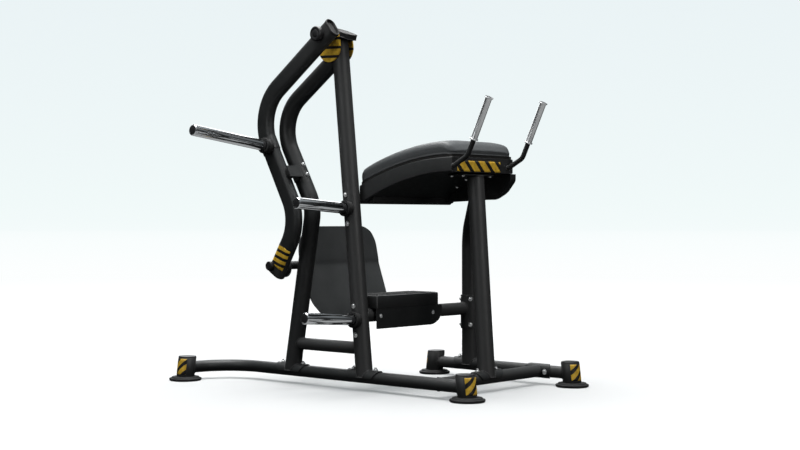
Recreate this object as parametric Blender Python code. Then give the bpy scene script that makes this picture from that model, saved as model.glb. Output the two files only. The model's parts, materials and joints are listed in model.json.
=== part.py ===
"""Plate-loaded rear-kick machine, in metres, +Z up.

+X is the way the user faces, +Y is the user's left, and the origin is on the floor under the
middle of the whole machine. The user lies on the crowned pad, holds the two handles and pushes the
bent foot plate backwards. The swing arm that carries it hangs from the apex of an A-frame.
"""

import math

import bmesh
import bpy
from mathutils import Matrix, Vector

# Clearance between neighbouring pieces.
GAP = 0.0003

# Floor plan. Forward and left distances are measured from the front foot.
FOOT_FRONT = (0.0, 0.0)
FOOT_RIGHT = (0.02, 0.73)
FOOT_LEFT = (-1.49, -0.26)
FOOT_FAR = (-0.81, 0.75)
RAIL_BEND = (-1.452, 0.0)
RAIL_BEND_RADIUS = 0.21
CROSS_FORWARD = -0.16
RAIL_UP = 0.0605
RAIL_DIAMETER = 0.055

DISC_DIAMETER = 0.15
DISC_HEIGHT = 0.02
FOOT_POST_DIAMETER = 0.084
FOOT_POST_TOP = 0.115
FOOT_POST_LEAN = 0.012

# Bent plates that hold each post to its rail.
SADDLE_GAP = 0.0006
SADDLE_WALL = 0.005
SADDLE_HALF_ANGLE = math.radians(96)
SADDLE_LENGTH = 0.19
SADDLE_SLANT = 0.05

# Round posts and columns, 3 mm wall.
POST_DIAMETER = 0.076
WALL = 0.003
FRONT_POST_FOOT = -0.5752
FRONT_POST_LEAN = -0.1016
REAR_POST_ROUTE = ((-1.0357, 0.053), (-0.899, 0.8146), (-1.127, 1.2205), (-0.728, 1.4992))
REAR_POST_RADIUS = 0.18
BRACE_UP = 0.186
BRACE_DIAMETER = 0.055

# Apex: the inclined cap plate, the two cheek plates and the pivot housing through the post.
APEX = (-0.702, 1.5905)
APEX_TILT = math.radians(20)
APEX_SIZE = (0.125, 0.084)
HOUSING_DIAMETER = 0.046
CHEEK_WALL = 0.006
CHEEK_LOWER = (-0.757, 1.527, 0.068)
CHEEK_UPPER_RADIUS = 0.042

# Swing arm: a flat oval tube beside the A-frame.
ARM_LEFT = -0.1
ARM_WIDTH = 0.09
ARM_THICKNESS = 0.05
ARM_ROUTE = ((-0.688, 1.5985), (-1.170, 1.2535), (-0.895, 0.7473), (-1.0366, 0.5127))
ARM_RADIUS = 0.2
PIVOT = (-0.738, 1.576)
PIVOT_SHAFT_DIAMETER = 0.03
HUB_DIAMETER = 0.056
FOOT_PIVOT = (-1.0455, 0.544)
FOOT_SHAFT_DIAMETER = 0.024
FOOT_SLEEVE_DIAMETER = 0.038

# Plate horns: 50 mm bars for the weight plates.
HORN_DIAMETER = 0.05
ARM_HORN_ROOT = (-1.064, 1.089)
ARM_HORN_LENGTH = 0.455
ARM_HORN_TILT = math.radians(7)
STORAGE_HORN_LENGTH = 0.315
STORAGE_HORN_TILT = math.radians(4)
STORAGE_HORN_UPS = (0.311, 0.802)

# Pad: front and hip edges, half widths and arched side curves about the pad's middle line.
PAD_MIDDLE = 0.36
PAD_FRONT = -0.2
PAD_HIP = -0.65
PAD_PAN_BACK = -0.5066
PAD_FRONT_HALF = 0.2175
PAD_HIP_HALF = 0.3195
PAD_FRAME_LOW = 0.9625
PAD_FRAME_HIGH = 1.028
PAD_LOW_DROP = 0.68
PAD_HIGH_DROP = 0.593
PAD_STATIONS = 8
PAD_BOARD = 0.012
CUSHION_HEIGHT = 0.060
CUSHION_CROWN = 0.012

# Step for the standing foot, between the front post and the far column.
STEP_FORWARD = -0.605
STEP_TUBE_UP = 0.33
STEP_TUBE_DIAMETER = 0.06
TRAY_FORWARD = (-0.745, -0.552)
TRAY_LEFT = (0.05, 0.50)
TRAY_UP = (0.361, 0.419)
STEP_FACE_FORWARD = -0.558
FLANGE_WALL = 0.006
FLANGE_LOW = 0.235
FLANGE_HEIGHT = 0.16

NEAR_COLUMN_FOOT = (CROSS_FORWARD, 0.335, RAIL_UP)
NEAR_COLUMN_TOP = (-0.238, 0.352, 0.9535)
NEAR_FLANGE_UP = 0.9485
FAR_COLUMN_ROUTE = ((-0.58, 0.74, RAIL_UP), (-0.58, 0.74, 0.69), (-0.42, 0.60, 0.868))

HANDLE_LEFTS = {"right": 0.15, "left": 0.54}
HANDLE_DIAMETER = 0.022
HANDLE_ROUTE = ((PAD_FRONT + 0.0055, 0.989), (-0.118, 1.030), (-0.004, 1.270))
HANDLE_BEND_RADIUS = 0.045
GRIP_DIAMETER = 0.029
GRIP_LENGTH = 0.195
GRIP_FLANGE_RADIUS = 0.019

# Bent foot plate: upper and lower halves lean away from the bend line.
PLATE_WALL = 0.005
PLATE_BEND = 0.553
PLATE_TILTS = (math.radians(10), math.radians(20))
PLATE_FORWARD = FOOT_PIVOT[0] + 0.0235
PLATE_UPPER = ((0.035, PLATE_BEND), (0.035, 0.610), (0.050, 0.660), (0.085, 0.700),
               (0.130, 0.724), (0.495, 0.724), (0.545, 0.698), (0.570, 0.648),
               (0.575, PLATE_BEND))
PLATE_LOWER = ((0.575, PLATE_BEND), (0.575, 0.393), (0.550, 0.333), (0.500, 0.310),
               (0.100, 0.310), (0.052, 0.370), (0.042, 0.460), (0.035, PLATE_BEND))

CHEEK_OUT = POST_DIAMETER / 2 + GAP + CHEEK_WALL + 0.003
SADDLE_OUTER = RAIL_DIAMETER / 2 + SADDLE_GAP + SADDLE_WALL
REARMOST = FOOT_LEFT[0] - DISC_DIAMETER / 2
FOREMOST = FOOT_RIGHT[0] + DISC_DIAMETER / 2
LEFTMOST = FOOT_FAR[1] + DISC_DIAMETER / 2
HORN_START = ARM_LEFT - ARM_THICKNESS / 2 - GAP
RIGHTMOST = HORN_START - ARM_HORN_LENGTH * math.cos(ARM_HORN_TILT)
RIGHTMOST -= HORN_DIAMETER / 2 * math.sin(ARM_HORN_TILT)
SHIFT = Vector((-(REARMOST + FOREMOST) / 2, -(LEFTMOST + RIGHTMOST) / 2, 0))

X_AXIS = Vector((1, 0, 0))
Y_AXIS = Vector((0, 1, 0))
Z_AXIS = Vector((0, 0, 1))

# Colour, roughness and metallic value of each finish.
FINISHES = {
    "black_powder_coat": ((0.022, 0.024, 0.026), 0.42, 0.3),
    "black_rubber": ((0.015, 0.015, 0.016), 0.8, 0.0),
    "black_plastic": ((0.02, 0.02, 0.022), 0.45, 0.0),
    "chrome": ((0.75, 0.76, 0.78), 0.12, 1.0),
    "brushed_aluminium": ((0.62, 0.64, 0.66), 0.35, 1.0),
    "zinc": ((0.55, 0.56, 0.57), 0.3, 1.0),
    "grey_vinyl": ((0.075, 0.08, 0.085), 0.55, 0.0),
    "plywood": ((0.36, 0.25, 0.14), 0.7, 0.0),
    "hazard": ((0.75, 0.5, 0.04), 0.5, 0.0),
}


def at(forward, left, up):
    """A world point from distances measured from the front foot."""
    return Vector((forward, left, up)) + SHIFT


def clear_scene():
    for old in list(bpy.data.objects):
        bpy.data.objects.remove(old, do_unlink=True)


def finish_of(name):
    found = bpy.data.materials.get(name)
    if found:
        return found
    colour, roughness, metallic = FINISHES[name]
    made = bpy.data.materials.new(name)
    made.use_nodes = True
    shader = made.node_tree.nodes["Principled BSDF"]
    shader.inputs["Base Color"].default_value = (*colour, 1)
    shader.inputs["Roughness"].default_value = roughness
    shader.inputs["Metallic"].default_value = metallic
    return made


def empty(name, place, parent=None):
    made = bpy.data.objects.new(name, None)
    made.empty_display_size = 0.1
    bpy.context.collection.objects.link(made)
    made.parent = parent
    made.location = place - (parent.matrix_world.translation if parent else Vector())
    bpy.context.view_layer.update()
    return made


def piece(name, bm, finish, origin, parent):
    """One object from a bmesh in world space, with its own origin, under its parent."""
    bmesh.ops.recalc_face_normals(bm, faces=bm.faces)
    bmesh.ops.translate(bm, vec=-origin, verts=bm.verts)
    mesh = bpy.data.meshes.new(name)
    bm.to_mesh(mesh)
    bm.free()
    mesh.shade_smooth()
    mesh.set_sharp_from_angle(angle=math.radians(35))
    made = bpy.data.objects.new(name, mesh)
    made.data.materials.append(finish_of(finish))
    bpy.context.collection.objects.link(made)
    made.parent = parent
    made.location = origin - parent.matrix_world.translation
    return made


def round_section(diameter, sides):
    """Points of a circle as (across, sideways) pairs."""
    turns = [2 * math.pi * (step + 0.5) / sides for step in range(sides)]
    return [(diameter / 2 * math.cos(turn), diameter / 2 * math.sin(turn)) for turn in turns]


def oval_section(width, thickness, sides):
    """Points of a flat oval: two half circles joined by straight sides."""
    offset = (width - thickness) / 2
    points = []
    for centre, start in ((offset, -math.pi / 2), (-offset, math.pi / 2)):
        for step in range(sides + 1):
            turn = start + math.pi * step / sides
            points.append(
                (centre + thickness / 2 * math.cos(turn), thickness / 2 * math.sin(turn))
            )
    return points


def bent(points, radius, steps):
    """The centre line of a bent bar: straight runs joined by arcs."""
    path = [points[0]]
    for before, corner, after in zip(points, points[1:], points[2:]):
        into = (corner - before).normalized()
        out = (after - corner).normalized()
        turn = into.angle(out)
        normal = into.cross(out).normalized()
        start = corner - into * radius * math.tan(turn / 2)
        centre = start + normal.cross(into) * radius
        for step in range(steps + 1):
            path.append(centre + Matrix.Rotation(turn * step / steps, 3, normal) @ (start - centre))
    path.append(points[-1])
    return path


def bridge(bm, first, second):
    for index, corner in enumerate(first):
        after = (index + 1) % len(first)
        bm.faces.new((corner, first[after], second[after], second[index]))


def rings_along(bm, path, section, side):
    """One ring of the section at each point of a path that lies square to side."""
    rings = []
    for index, point in enumerate(path):
        runs = [(path[i + 1] - path[i]).normalized() for i in (index - 1, index)
                if 0 <= i < len(path) - 1]
        tangent = sum(runs, Vector()).normalized()
        across = tangent.cross(side).normalized()
        square = across.cross(tangent).normalized()
        rings.append([bm.verts.new(point + across * u + square * v) for u, v in section])
    return rings


def bar(name, path, section, side, finish, parent, inner=None):
    """A bar along a path, solid or, with an inner section, an open-ended tube."""
    bm = bmesh.new()
    outside = rings_along(bm, path, section, side)
    for first, second in zip(outside, outside[1:]):
        bridge(bm, first, second)
    if inner:
        inside = rings_along(bm, path, inner, side)
        for first, second in zip(inside, inside[1:]):
            bridge(bm, first, second)
        bridge(bm, outside[0], inside[0])
        bridge(bm, outside[-1], inside[-1])
    else:
        bm.faces.new(outside[0])
        bm.faces.new(outside[-1])
    return piece(name, bm, finish, path[0], parent)


def round_tube(name, path, diameter, side, finish, parent, sides=16):
    return bar(name, path, round_section(diameter, sides), side, finish, parent,
               round_section(diameter - 2 * WALL, sides))


def turned(name, base, axis, profile, finish, parent, sides=24):
    """A turned solid: profile is (radius, height) pairs from its base to its top along axis.

    A profile whose first and last radius are above zero and whose first point is repeated at the
    end is a ring with a bore.
    """
    bm = bmesh.new()
    across = axis.orthogonal().normalized()
    over = axis.cross(across).normalized()
    bored = profile[0] == profile[-1]
    rings = []
    for radius, height in profile[:-1] if bored else profile:
        rings.append([bm.verts.new(base + axis * height + across * u + over * v)
                      for u, v in round_section(2 * radius, sides)])
    for first, second in zip(rings, rings[1:]):
        bridge(bm, first, second)
    if bored:
        bridge(bm, rings[-1], rings[0])
    else:
        bm.faces.new(rings[0])
        bm.faces.new(rings[-1])
    return piece(name, bm, finish, base, parent)


def ring_profile(inner, outer, length):
    return [(inner, 0), (outer, 0), (outer, length), (inner, length), (inner, 0)]


def prism(outline, push):
    """A bmesh of a flat outline of world points, extruded along push."""
    bm = bmesh.new()
    near = [bm.verts.new(point) for point in outline]
    away = [bm.verts.new(point + push) for point in outline]
    bm.faces.new(near)
    bm.faces.new(away)
    bridge(bm, near, away)
    return bm


def square_about(centre, along, over, reach):
    """The corners of a square about a point, for a cutting block."""
    return [centre + along * u * reach + over * v * reach
            for u, v in ((-1, -1), (1, -1), (1, 1), (-1, 1))]


def extruded(name, outline, push, finish, parent):
    return piece(name, prism(outline, push), finish, outline[0], parent)


def cutter(name, bm):
    """A hidden helper mesh in world space that a Boolean takes away."""
    bmesh.ops.recalc_face_normals(bm, faces=bm.faces)
    mesh = bpy.data.meshes.new(name)
    bm.to_mesh(mesh)
    bm.free()
    made = bpy.data.objects.new(name, mesh)
    bpy.context.collection.objects.link(made)
    made.hide_render = True
    made.display_type = "WIRE"
    return made


def rod_cutter(name, start, end, diameter, sides=32):
    bm = bmesh.new()
    axis = (end - start).normalized()
    side = axis.orthogonal().normalized()
    rings = rings_along(bm, [start, end], round_section(diameter, sides), side)
    bridge(bm, *rings)
    bm.faces.new(rings[0])
    bm.faces.new(rings[1])
    return cutter(name, bm)


def cut(target, helper):
    boolean = target.modifiers.new("cut_" + helper.name, "BOOLEAN")
    boolean.operation = "DIFFERENCE"
    boolean.object = helper


def hull_outline(circles, steps):
    """The outline around two circles, each (x, y, radius), as (x, y) pairs."""
    (x1, y1, r1), (x2, y2, r2) = circles
    heading = math.atan2(y2 - y1, x2 - x1)
    spread = math.acos((r1 - r2) / math.hypot(x2 - x1, y2 - y1))
    outline = []
    for x, y, radius, start, end in (
        (x1, y1, r1, heading + spread, heading + 2 * math.pi - spread),
        (x2, y2, r2, heading - spread, heading + spread),
    ):
        for step in range(steps + 1):
            turn = start + (end - start) * step / steps
            outline.append((x + radius * math.cos(turn), y + radius * math.sin(turn)))
    return outline


def foot_post_ends(foot, inward):
    """Bottom and top of a foot post, which leans inward along its rail."""
    lean = Vector((inward[0], inward[1], 0)).normalized() * FOOT_POST_LEAN
    return at(*foot, DISC_HEIGHT + GAP), at(*foot, FOOT_POST_TOP) + lean


def foot(name, place, inward, machine):
    """Rubber disc and the short leaning post that stands on it."""
    rim = DISC_DIAMETER / 2
    turned("foot_pad_" + name, at(*place, 0), Z_AXIS,
           [(rim - 0.004, 0), (rim, 0.005), (rim, 0.012), (rim - 0.012, DISC_HEIGHT)],
           "black_rubber", machine, 24)
    bottom, top = foot_post_ends(place, inward)
    side = Vector((-inward[1], inward[0], 0)).normalized()
    bm = bmesh.new()
    rings = []
    for end in (bottom, top):
        across = side.cross(Z_AXIS)
        rings.append([bm.verts.new(end + across * u + side * v)
                      for u, v in round_section(FOOT_POST_DIAMETER, 24)])
    bridge(bm, *rings)
    bm.faces.new(rings[0])
    bm.faces.new(rings[1])
    piece("foot_post_" + name, bm, "black_powder_coat", bottom, machine)
    reach = (top - bottom) * 0.2
    return rod_cutter("cutter_foot_" + name, bottom - reach, top + reach,
                      FOOT_POST_DIAMETER + 2 * GAP)


def base_frame(machine):
    """Two long rails on four feet, joined by a cross rail."""
    bend = Vector((*RAIL_BEND, 0))
    tail = Vector((*FOOT_LEFT, 0)) - bend
    feet = {
        "front": (FOOT_FRONT, (-1, 0)),
        "right": (FOOT_RIGHT, (-1, 0)),
        "left": (FOOT_LEFT, (-tail.x, -tail.y)),
        "far": (FOOT_FAR, (1, 0)),
    }
    cutters = {name: foot(name, place, inward, machine)
               for name, (place, inward) in feet.items()}
    route = [at(*FOOT_FRONT, RAIL_UP), at(*RAIL_BEND, RAIL_UP), at(*FOOT_LEFT, RAIL_UP)]
    near = round_tube("rail_right", bent(route, RAIL_BEND_RADIUS, 8), RAIL_DIAMETER, Z_AXIS,
                      "black_powder_coat", machine)
    cut(near, cutters["front"])
    cut(near, cutters["left"])
    far = round_tube("rail_left", [at(*FOOT_FAR, RAIL_UP), at(*FOOT_RIGHT, RAIL_UP)],
                     RAIL_DIAMETER, Z_AXIS, "black_powder_coat", machine, 20)
    cut(far, cutters["far"])
    cut(far, cutters["right"])
    cross_end = FOOT_RIGHT[1] + 0.004
    cross = round_tube("rail_cross",
                       [at(CROSS_FORWARD, 0, RAIL_UP), at(CROSS_FORWARD, cross_end, RAIL_UP)],
                       RAIL_DIAMETER, Z_AXIS, "black_powder_coat", machine)
    cope = RAIL_DIAMETER + 2 * GAP
    cut(cross, rod_cutter("cutter_rail_right", at(-0.5, 0, RAIL_UP), at(0.1, 0, RAIL_UP), cope))
    cut(cross, rod_cutter("cutter_rail_left", at(*FOOT_FAR, RAIL_UP),
                          at(*FOOT_RIGHT, RAIL_UP), 2 * SADDLE_OUTER + 2 * GAP))



def saddle(name, centre, along, machine, length=SADDLE_LENGTH, slant=SADDLE_SLANT,
           facing=Z_AXIS):
    """A bent plate over a rail, whose ends are cut on a slant."""
    inner = RAIL_DIAMETER / 2 + SADDLE_GAP
    across = facing.cross(along).normalized()
    steps = 12
    bm = bmesh.new()
    ends = []
    for sign in (-1, 1):
        ring = []
        for radius, order in ((inner, range(steps + 1)),
                              (inner + SADDLE_WALL, range(steps, -1, -1))):
            for step in order:
                turn = SADDLE_HALF_ANGLE * (2 * step / steps - 1)
                spot = across * math.sin(turn) + facing * math.cos(turn)
                run = sign * (length / 2 - slant * (1 - math.cos(turn)) / 2)
                ring.append(bm.verts.new(centre + spot * radius + along * run))
        ends.append(ring)
        bm.faces.new(ring)
    bridge(bm, *ends)
    piece(name, bm, "black_powder_coat", centre, machine)


def front_post_axis(up):
    return at(FRONT_POST_FOOT + FRONT_POST_LEAN * up, 0, up)


def a_frame(machine):
    """Front post, S-bent rear post, their brace and the plates that join them at the apex."""
    front = round_tube("front_post", [front_post_axis(RAIL_UP), front_post_axis(1.62)],
                       POST_DIAMETER, Y_AXIS, "black_powder_coat", machine)
    route = [at(forward, 0, up) for forward, up in REAR_POST_ROUTE]
    rear = round_tube("rear_post", bent(route, REAR_POST_RADIUS, 5), POST_DIAMETER, Y_AXIS,
                      "black_powder_coat", machine)
    cut(rear, rod_cutter("cutter_front_post", front_post_axis(1.2), front_post_axis(1.7),
                         POST_DIAMETER + 2 * GAP))
    near_line = (at(-0.3, 0, RAIL_UP), at(-1.3, 0, RAIL_UP))
    under = rod_cutter("cutter_saddles_right", *near_line, 2 * SADDLE_OUTER + 2 * GAP)
    cut(front, under)
    cut(rear, under)
    for name, forward in (("saddle_front_post", FRONT_POST_FOOT + FRONT_POST_LEAN * RAIL_UP),
                          ("saddle_rear_post", REAR_POST_ROUTE[0][0] + 0.003)):
        saddle(name, at(forward, 0, RAIL_UP), X_AXIS, machine)

    slope = (REAR_POST_ROUTE[1][0] - REAR_POST_ROUTE[0][0])
    slope /= REAR_POST_ROUTE[1][1] - REAR_POST_ROUTE[0][1]
    rear_at_brace = REAR_POST_ROUTE[0][0] + slope * (BRACE_UP - REAR_POST_ROUTE[0][1])
    brace = round_tube("a_frame_brace", [at(rear_at_brace, 0, BRACE_UP), front_post_axis(BRACE_UP)],
                       BRACE_DIAMETER, Y_AXIS, "black_powder_coat", machine)
    cut(brace, rod_cutter("cutter_front_post_low", front_post_axis(0), front_post_axis(0.4),
                          POST_DIAMETER + 2 * GAP))
    cut(brace, rod_cutter("cutter_rear_post_low", route[0], route[1],
                          POST_DIAMETER + 2 * GAP))

    along = Vector((math.cos(APEX_TILT), 0, -math.sin(APEX_TILT)))
    normal = Vector((math.sin(APEX_TILT), 0, math.cos(APEX_TILT)))
    roof = at(APEX[0], 0, APEX[1])
    outline = [roof + along * u + Y_AXIS * v for u, v in oval_section(*APEX_SIZE, 8)]
    extruded("apex_cap", outline, normal * 0.006, "black_powder_coat", machine)
    roof_square = square_about(roof - normal * GAP, along, Y_AXIS, 0.2)
    above = cutter("cutter_apex", prism(roof_square, normal * 0.2))
    cut(front, above)

    pivot = at(PIVOT[0], 0, PIVOT[1])
    bore = rod_cutter("cutter_pivot_housing", pivot - Y_AXIS * 0.2, pivot + Y_AXIS * 0.2,
                      HOUSING_DIAMETER + 2 * GAP)
    cut(front, bore)
    turned("pivot_housing", pivot - Y_AXIS * CHEEK_OUT, Y_AXIS,
           ring_profile(PIVOT_SHAFT_DIAMETER / 2 + GAP, HOUSING_DIAMETER / 2, 2 * CHEEK_OUT),
           "zinc", machine)
    cheek = hull_outline((CHEEK_LOWER, (*PIVOT, CHEEK_UPPER_RADIUS)), 12)
    for name, sign in (("pivot_cheek_right", -1), ("pivot_cheek_left", 1)):
        outline = [at(x, sign * (POST_DIAMETER / 2 + GAP), z) for x, z in cheek]
        plate = extruded(name, outline, Y_AXIS * sign * CHEEK_WALL, "hazard", machine)
        cut(plate, bore)
        cut(plate, above)


def left_rail(forward):
    """The point of the left rail's centre line at this distance forward."""
    share = (forward - FOOT_FAR[0]) / (FOOT_RIGHT[0] - FOOT_FAR[0])
    return at(forward, FOOT_FAR[1] + share * (FOOT_RIGHT[1] - FOOT_FAR[1]), RAIL_UP)


def columns(machine):
    """The near column under the pad's front end and the bent far column."""
    foot_point = at(*NEAR_COLUMN_FOOT)
    top = at(*NEAR_COLUMN_TOP)
    near = round_tube("near_column", [foot_point, top], POST_DIAMETER, Y_AXIS,
                      "black_powder_coat", machine)
    cut(near, rod_cutter("cutter_saddle_near_column", at(CROSS_FORWARD, 0.1, RAIL_UP),
                         at(CROSS_FORWARD, 0.6, RAIL_UP), 2 * SADDLE_OUTER + 2 * GAP))
    saddle("saddle_near_column", at(*NEAR_COLUMN_FOOT), Y_AXIS, machine)
    over_top = square_about(Vector((top.x, top.y, NEAR_FLANGE_UP)), X_AXIS, Y_AXIS, 0.1)
    cut(near, cutter("cutter_near_column_top", prism(over_top, Z_AXIS * 0.1)))
    corners = ((-0.30, 0.23), (-0.205, 0.23), (-0.205, 0.45), (-0.30, 0.45))
    outline = [at(x, y, NEAR_FLANGE_UP + GAP) for x, y in corners]
    extruded("near_column_flange", outline, Z_AXIS * 0.006, "black_powder_coat", machine)

    route = [at(*point) for point in FAR_COLUMN_ROUTE]
    side = (route[1] - route[0]).cross(route[2] - route[1]).normalized()
    far = round_tube("far_column", bent(route, 0.15, 4), POST_DIAMETER, side,
                     "black_powder_coat", machine)
    cut(far, rod_cutter("cutter_saddle_far_column", left_rail(-0.9), left_rail(-0.3),
                        2 * SADDLE_OUTER + 2 * GAP))
    rail_run = (left_rail(0) - left_rail(-1)).normalized()
    saddle("saddle_far_column", left_rail(FAR_COLUMN_ROUTE[0][0]), rail_run, machine)
    saddle("cross_rail_bracket", left_rail(CROSS_FORWARD), rail_run, machine, 0.15, 0.04,
           -Y_AXIS)


def pad_half(forward):
    share = (forward - PAD_FRONT) / (PAD_HIP - PAD_FRONT)
    return PAD_FRONT_HALF + share * (PAD_HIP_HALF - PAD_FRONT_HALF)


def pad_low(forward):
    return PAD_FRAME_LOW - PAD_LOW_DROP * (forward - PAD_FRONT) ** 2


def pad_high(forward):
    return PAD_FRAME_HIGH - PAD_HIGH_DROP * (forward - PAD_FRONT) ** 2


def pad_slab(ends, section):
    """A bmesh lofted through the pad's stations; section gives (left, up) pairs at a station."""
    bm = bmesh.new()
    rings = []
    for step in range(PAD_STATIONS + 1):
        forward = ends[0] + (ends[1] - ends[0]) * step / PAD_STATIONS
        rings.append([bm.verts.new(at(forward, left, up)) for left, up in section(forward)])
    for first, second in zip(rings, rings[1:]):
        bridge(bm, first, second)
    bm.faces.new(rings[0])
    bm.faces.new(rings[-1])
    return bm


def slab_section(low, high, inset):
    def section(forward):
        half = pad_half(forward) - inset
        return [(PAD_MIDDLE + sign * half, level)
                for sign, level in ((-1, low(forward)), (-1, high(forward)),
                                    (1, high(forward)), (1, low(forward)))]
    return section


def cushion_section(forward):
    half = pad_half(forward) - 0.002
    base = pad_high(forward) + PAD_BOARD + GAP
    share = (forward - PAD_FRONT) / (PAD_HIP - PAD_FRONT)
    rise = CUSHION_HEIGHT * min(1, 0.55 + 6 * share, 0.7 + 4 * (1 - share))
    shape = ((-1, 0), (-1.005, 0.7), (-0.94, 1), (-0.5, 1.1), (0.5, 1.1), (0.94, 1), (1.005, 0.7),
             (1, 0))
    points = []
    for across, height in shape:
        crown = CUSHION_CROWN * max(0, height - 1) / 0.1
        points.append((PAD_MIDDLE + across * half, base + rise * min(height, 1) + crown))
    return points


def pad(machine):
    """Arched sheet-metal frame, board, cushion and the beams under them."""
    frame = piece("pad_frame", pad_slab((PAD_HIP, PAD_FRONT), slab_section(pad_low, pad_high, 0)),
                  "black_powder_coat", at(PAD_FRONT, PAD_MIDDLE, PAD_FRAME_LOW), machine)
    pocket = slab_section(lambda x: pad_low(x) - 0.1, lambda x: pad_high(x) - 0.004, 0.004)
    cut(frame, cutter("cutter_pad_pocket", pad_slab((PAD_HIP - 0.05, PAD_PAN_BACK), pocket)))
    nose = slab_section(lambda x: pad_low(x) + 0.006, lambda x: pad_high(x) - 0.004, 0.004)
    cut(frame, cutter("cutter_pad_nose", pad_slab((PAD_PAN_BACK - 0.02, PAD_FRONT - 0.004), nose)))
    cut(frame, rod_cutter("cutter_front_post_pad", front_post_axis(0.6), front_post_axis(1.2),
                          POST_DIAMETER + 2 * GAP))
    board = slab_section(lambda x: pad_high(x) + GAP, lambda x: pad_high(x) + PAD_BOARD, 0.006)
    piece("pad_board", pad_slab((PAD_HIP + 0.006, PAD_FRONT - 0.006), board), "plywood",
          at(PAD_FRONT, PAD_MIDDLE, PAD_FRAME_HIGH), machine)
    cushion = piece("pad_cushion", pad_slab((PAD_HIP + 0.002, PAD_FRONT - 0.002), cushion_section),
                    "grey_vinyl", at(PAD_FRONT, PAD_MIDDLE, PAD_FRAME_HIGH), machine)
    cut(cushion, rod_cutter("cutter_front_post_cushion", front_post_axis(0.6),
                            front_post_axis(1.2), POST_DIAMETER + 0.004))
    beam_up = pad_low(PAD_HIP) + 0.02
    beam = [at(forward, 0.075, up) for forward, up in
            ((-0.635, beam_up - 0.012), (-0.595, beam_up - 0.012), (-0.595, beam_up + 0.028),
             (-0.635, beam_up + 0.028))]
    extruded("pad_hip_beam", beam, Y_AXIS * 0.56, "black_powder_coat", machine)


def far_support(machine):
    """A folded plate that hangs under the pad's far side and sits on the far column."""
    profile = ((-0.575, 0.838), (-0.36, 0.8465), (-0.307, 0.8465), (-0.248, 0.877),
               (-0.203, 0.930), (-0.203, 0.9590), (-0.24, 0.9575), (-0.34, 0.9455),
               (-0.45, 0.9165), (-0.575, 0.860))
    outline = [at(forward, 0.565, up) for forward, up in profile]
    support = extruded("pad_far_support", outline, Y_AXIS * 0.04, "black_powder_coat", machine)
    top = at(*FAR_COLUMN_ROUTE[2])
    lower = at(*FAR_COLUMN_ROUTE[1])
    reach = (top - lower).normalized() * 0.1
    cut(support, rod_cutter("cutter_far_column_top", lower, top + reach,
                            POST_DIAMETER + 2 * GAP))


def step(machine):
    """Cross tube, face plate and ribbed tread box for the standing foot."""
    tube = round_tube("step_tube",
                      [at(STEP_FORWARD, 0, STEP_TUBE_UP), at(-0.59, 0.735, STEP_TUBE_UP)],
                      STEP_TUBE_DIAMETER, Z_AXIS, "black_powder_coat", machine)
    cut(tube, rod_cutter("cutter_front_post_step", front_post_axis(0.15), front_post_axis(0.5),
                         POST_DIAMETER + 2 * GAP))
    cut(tube, rod_cutter("cutter_far_column_step", at(-0.58, 0.74, 0.1), at(-0.58, 0.74, 0.55),
                         POST_DIAMETER + 2 * GAP + 2 * FLANGE_WALL))
    outline = []
    for count, radius in ((range(-4, 5), POST_DIAMETER / 2 + 4 * GAP),
                          (range(4, -5, -1), POST_DIAMETER / 2 + FLANGE_WALL)):
        for stop in count:
            turn = math.radians(-90 + 17.5 * stop)
            outline.append(at(-0.58 + radius * math.cos(turn), 0.74 + radius * math.sin(turn),
                              FLANGE_LOW))
    extruded("step_flange", outline, Z_AXIS * FLANGE_HEIGHT, "black_powder_coat", machine)
    face = [at(STEP_FACE_FORWARD, left, up) for left, up in
            ((0.05, 0.27), (0.44, 0.27), (0.485, 0.293), (0.5, 0.338), (0.5, 0.3605),
             (0.05, 0.3605))]
    extruded("step_face_plate", face, X_AXIS * 0.004, "black_powder_coat", machine)
    back, front = TRAY_FORWARD
    near, far = TRAY_LEFT
    low, high = TRAY_UP
    notch = 0.03
    plan = ((back, near + notch), (back + notch, near), (front - 0.003, near),
            (front, near + 0.003), (front, far - notch), (front - notch, far),
            (back + notch, far), (back, far - notch))
    tray = extruded("step_tread", [at(*corner, low + GAP) for corner in plan],
                    Z_AXIS * (high - low - GAP), "black_powder_coat", machine)
    wall = 0.004
    inside = [at(*corner, low - 0.02) for corner in
              ((back + notch, near + wall), (front - 2 * wall, near + wall),
               (front - wall, near + 2 * wall), (front - wall, far - notch),
               (front - notch, far - wall), (back + notch, far - wall),
               (back + wall, far - notch), (back + wall, near + notch))]
    cut(tray, cutter("cutter_tread_pocket", prism(inside, Z_AXIS * (high - low + 0.02 - wall))))


def handles(machine):
    """Two bent stems on the pad frame's front end, each with a ribbed metal grip."""
    for name, left in HANDLE_LEFTS.items():
        route = [at(forward, left, up) for forward, up in HANDLE_ROUTE]
        path = bent(route, HANDLE_BEND_RADIUS, 5)
        bar("handle_stem_" + name, path, round_section(HANDLE_DIAMETER, 12), Y_AXIS,
            "black_powder_coat", machine)
        axis = (path[-1] - path[-2]).normalized()
        bore = HANDLE_DIAMETER / 2 + 4 * GAP
        start = path[-1] - axis * (GRIP_LENGTH - 0.004)
        turned("handle_grip_" + name, start, axis,
               [(bore, 0), (GRIP_FLANGE_RADIUS, 0), (GRIP_FLANGE_RADIUS, 0.005),
                (GRIP_DIAMETER / 2, 0.006), (GRIP_DIAMETER / 2, GRIP_LENGTH - 0.006),
                (GRIP_FLANGE_RADIUS, GRIP_LENGTH - 0.005), (GRIP_FLANGE_RADIUS, GRIP_LENGTH),
                (bore, GRIP_LENGTH), (bore, 0)],
               "brushed_aluminium", machine, 12)


def horn_profile(length):
    radius = HORN_DIAMETER / 2
    return [(radius, 0), (radius, length - 0.004), (radius - 0.004, length)]


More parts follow.
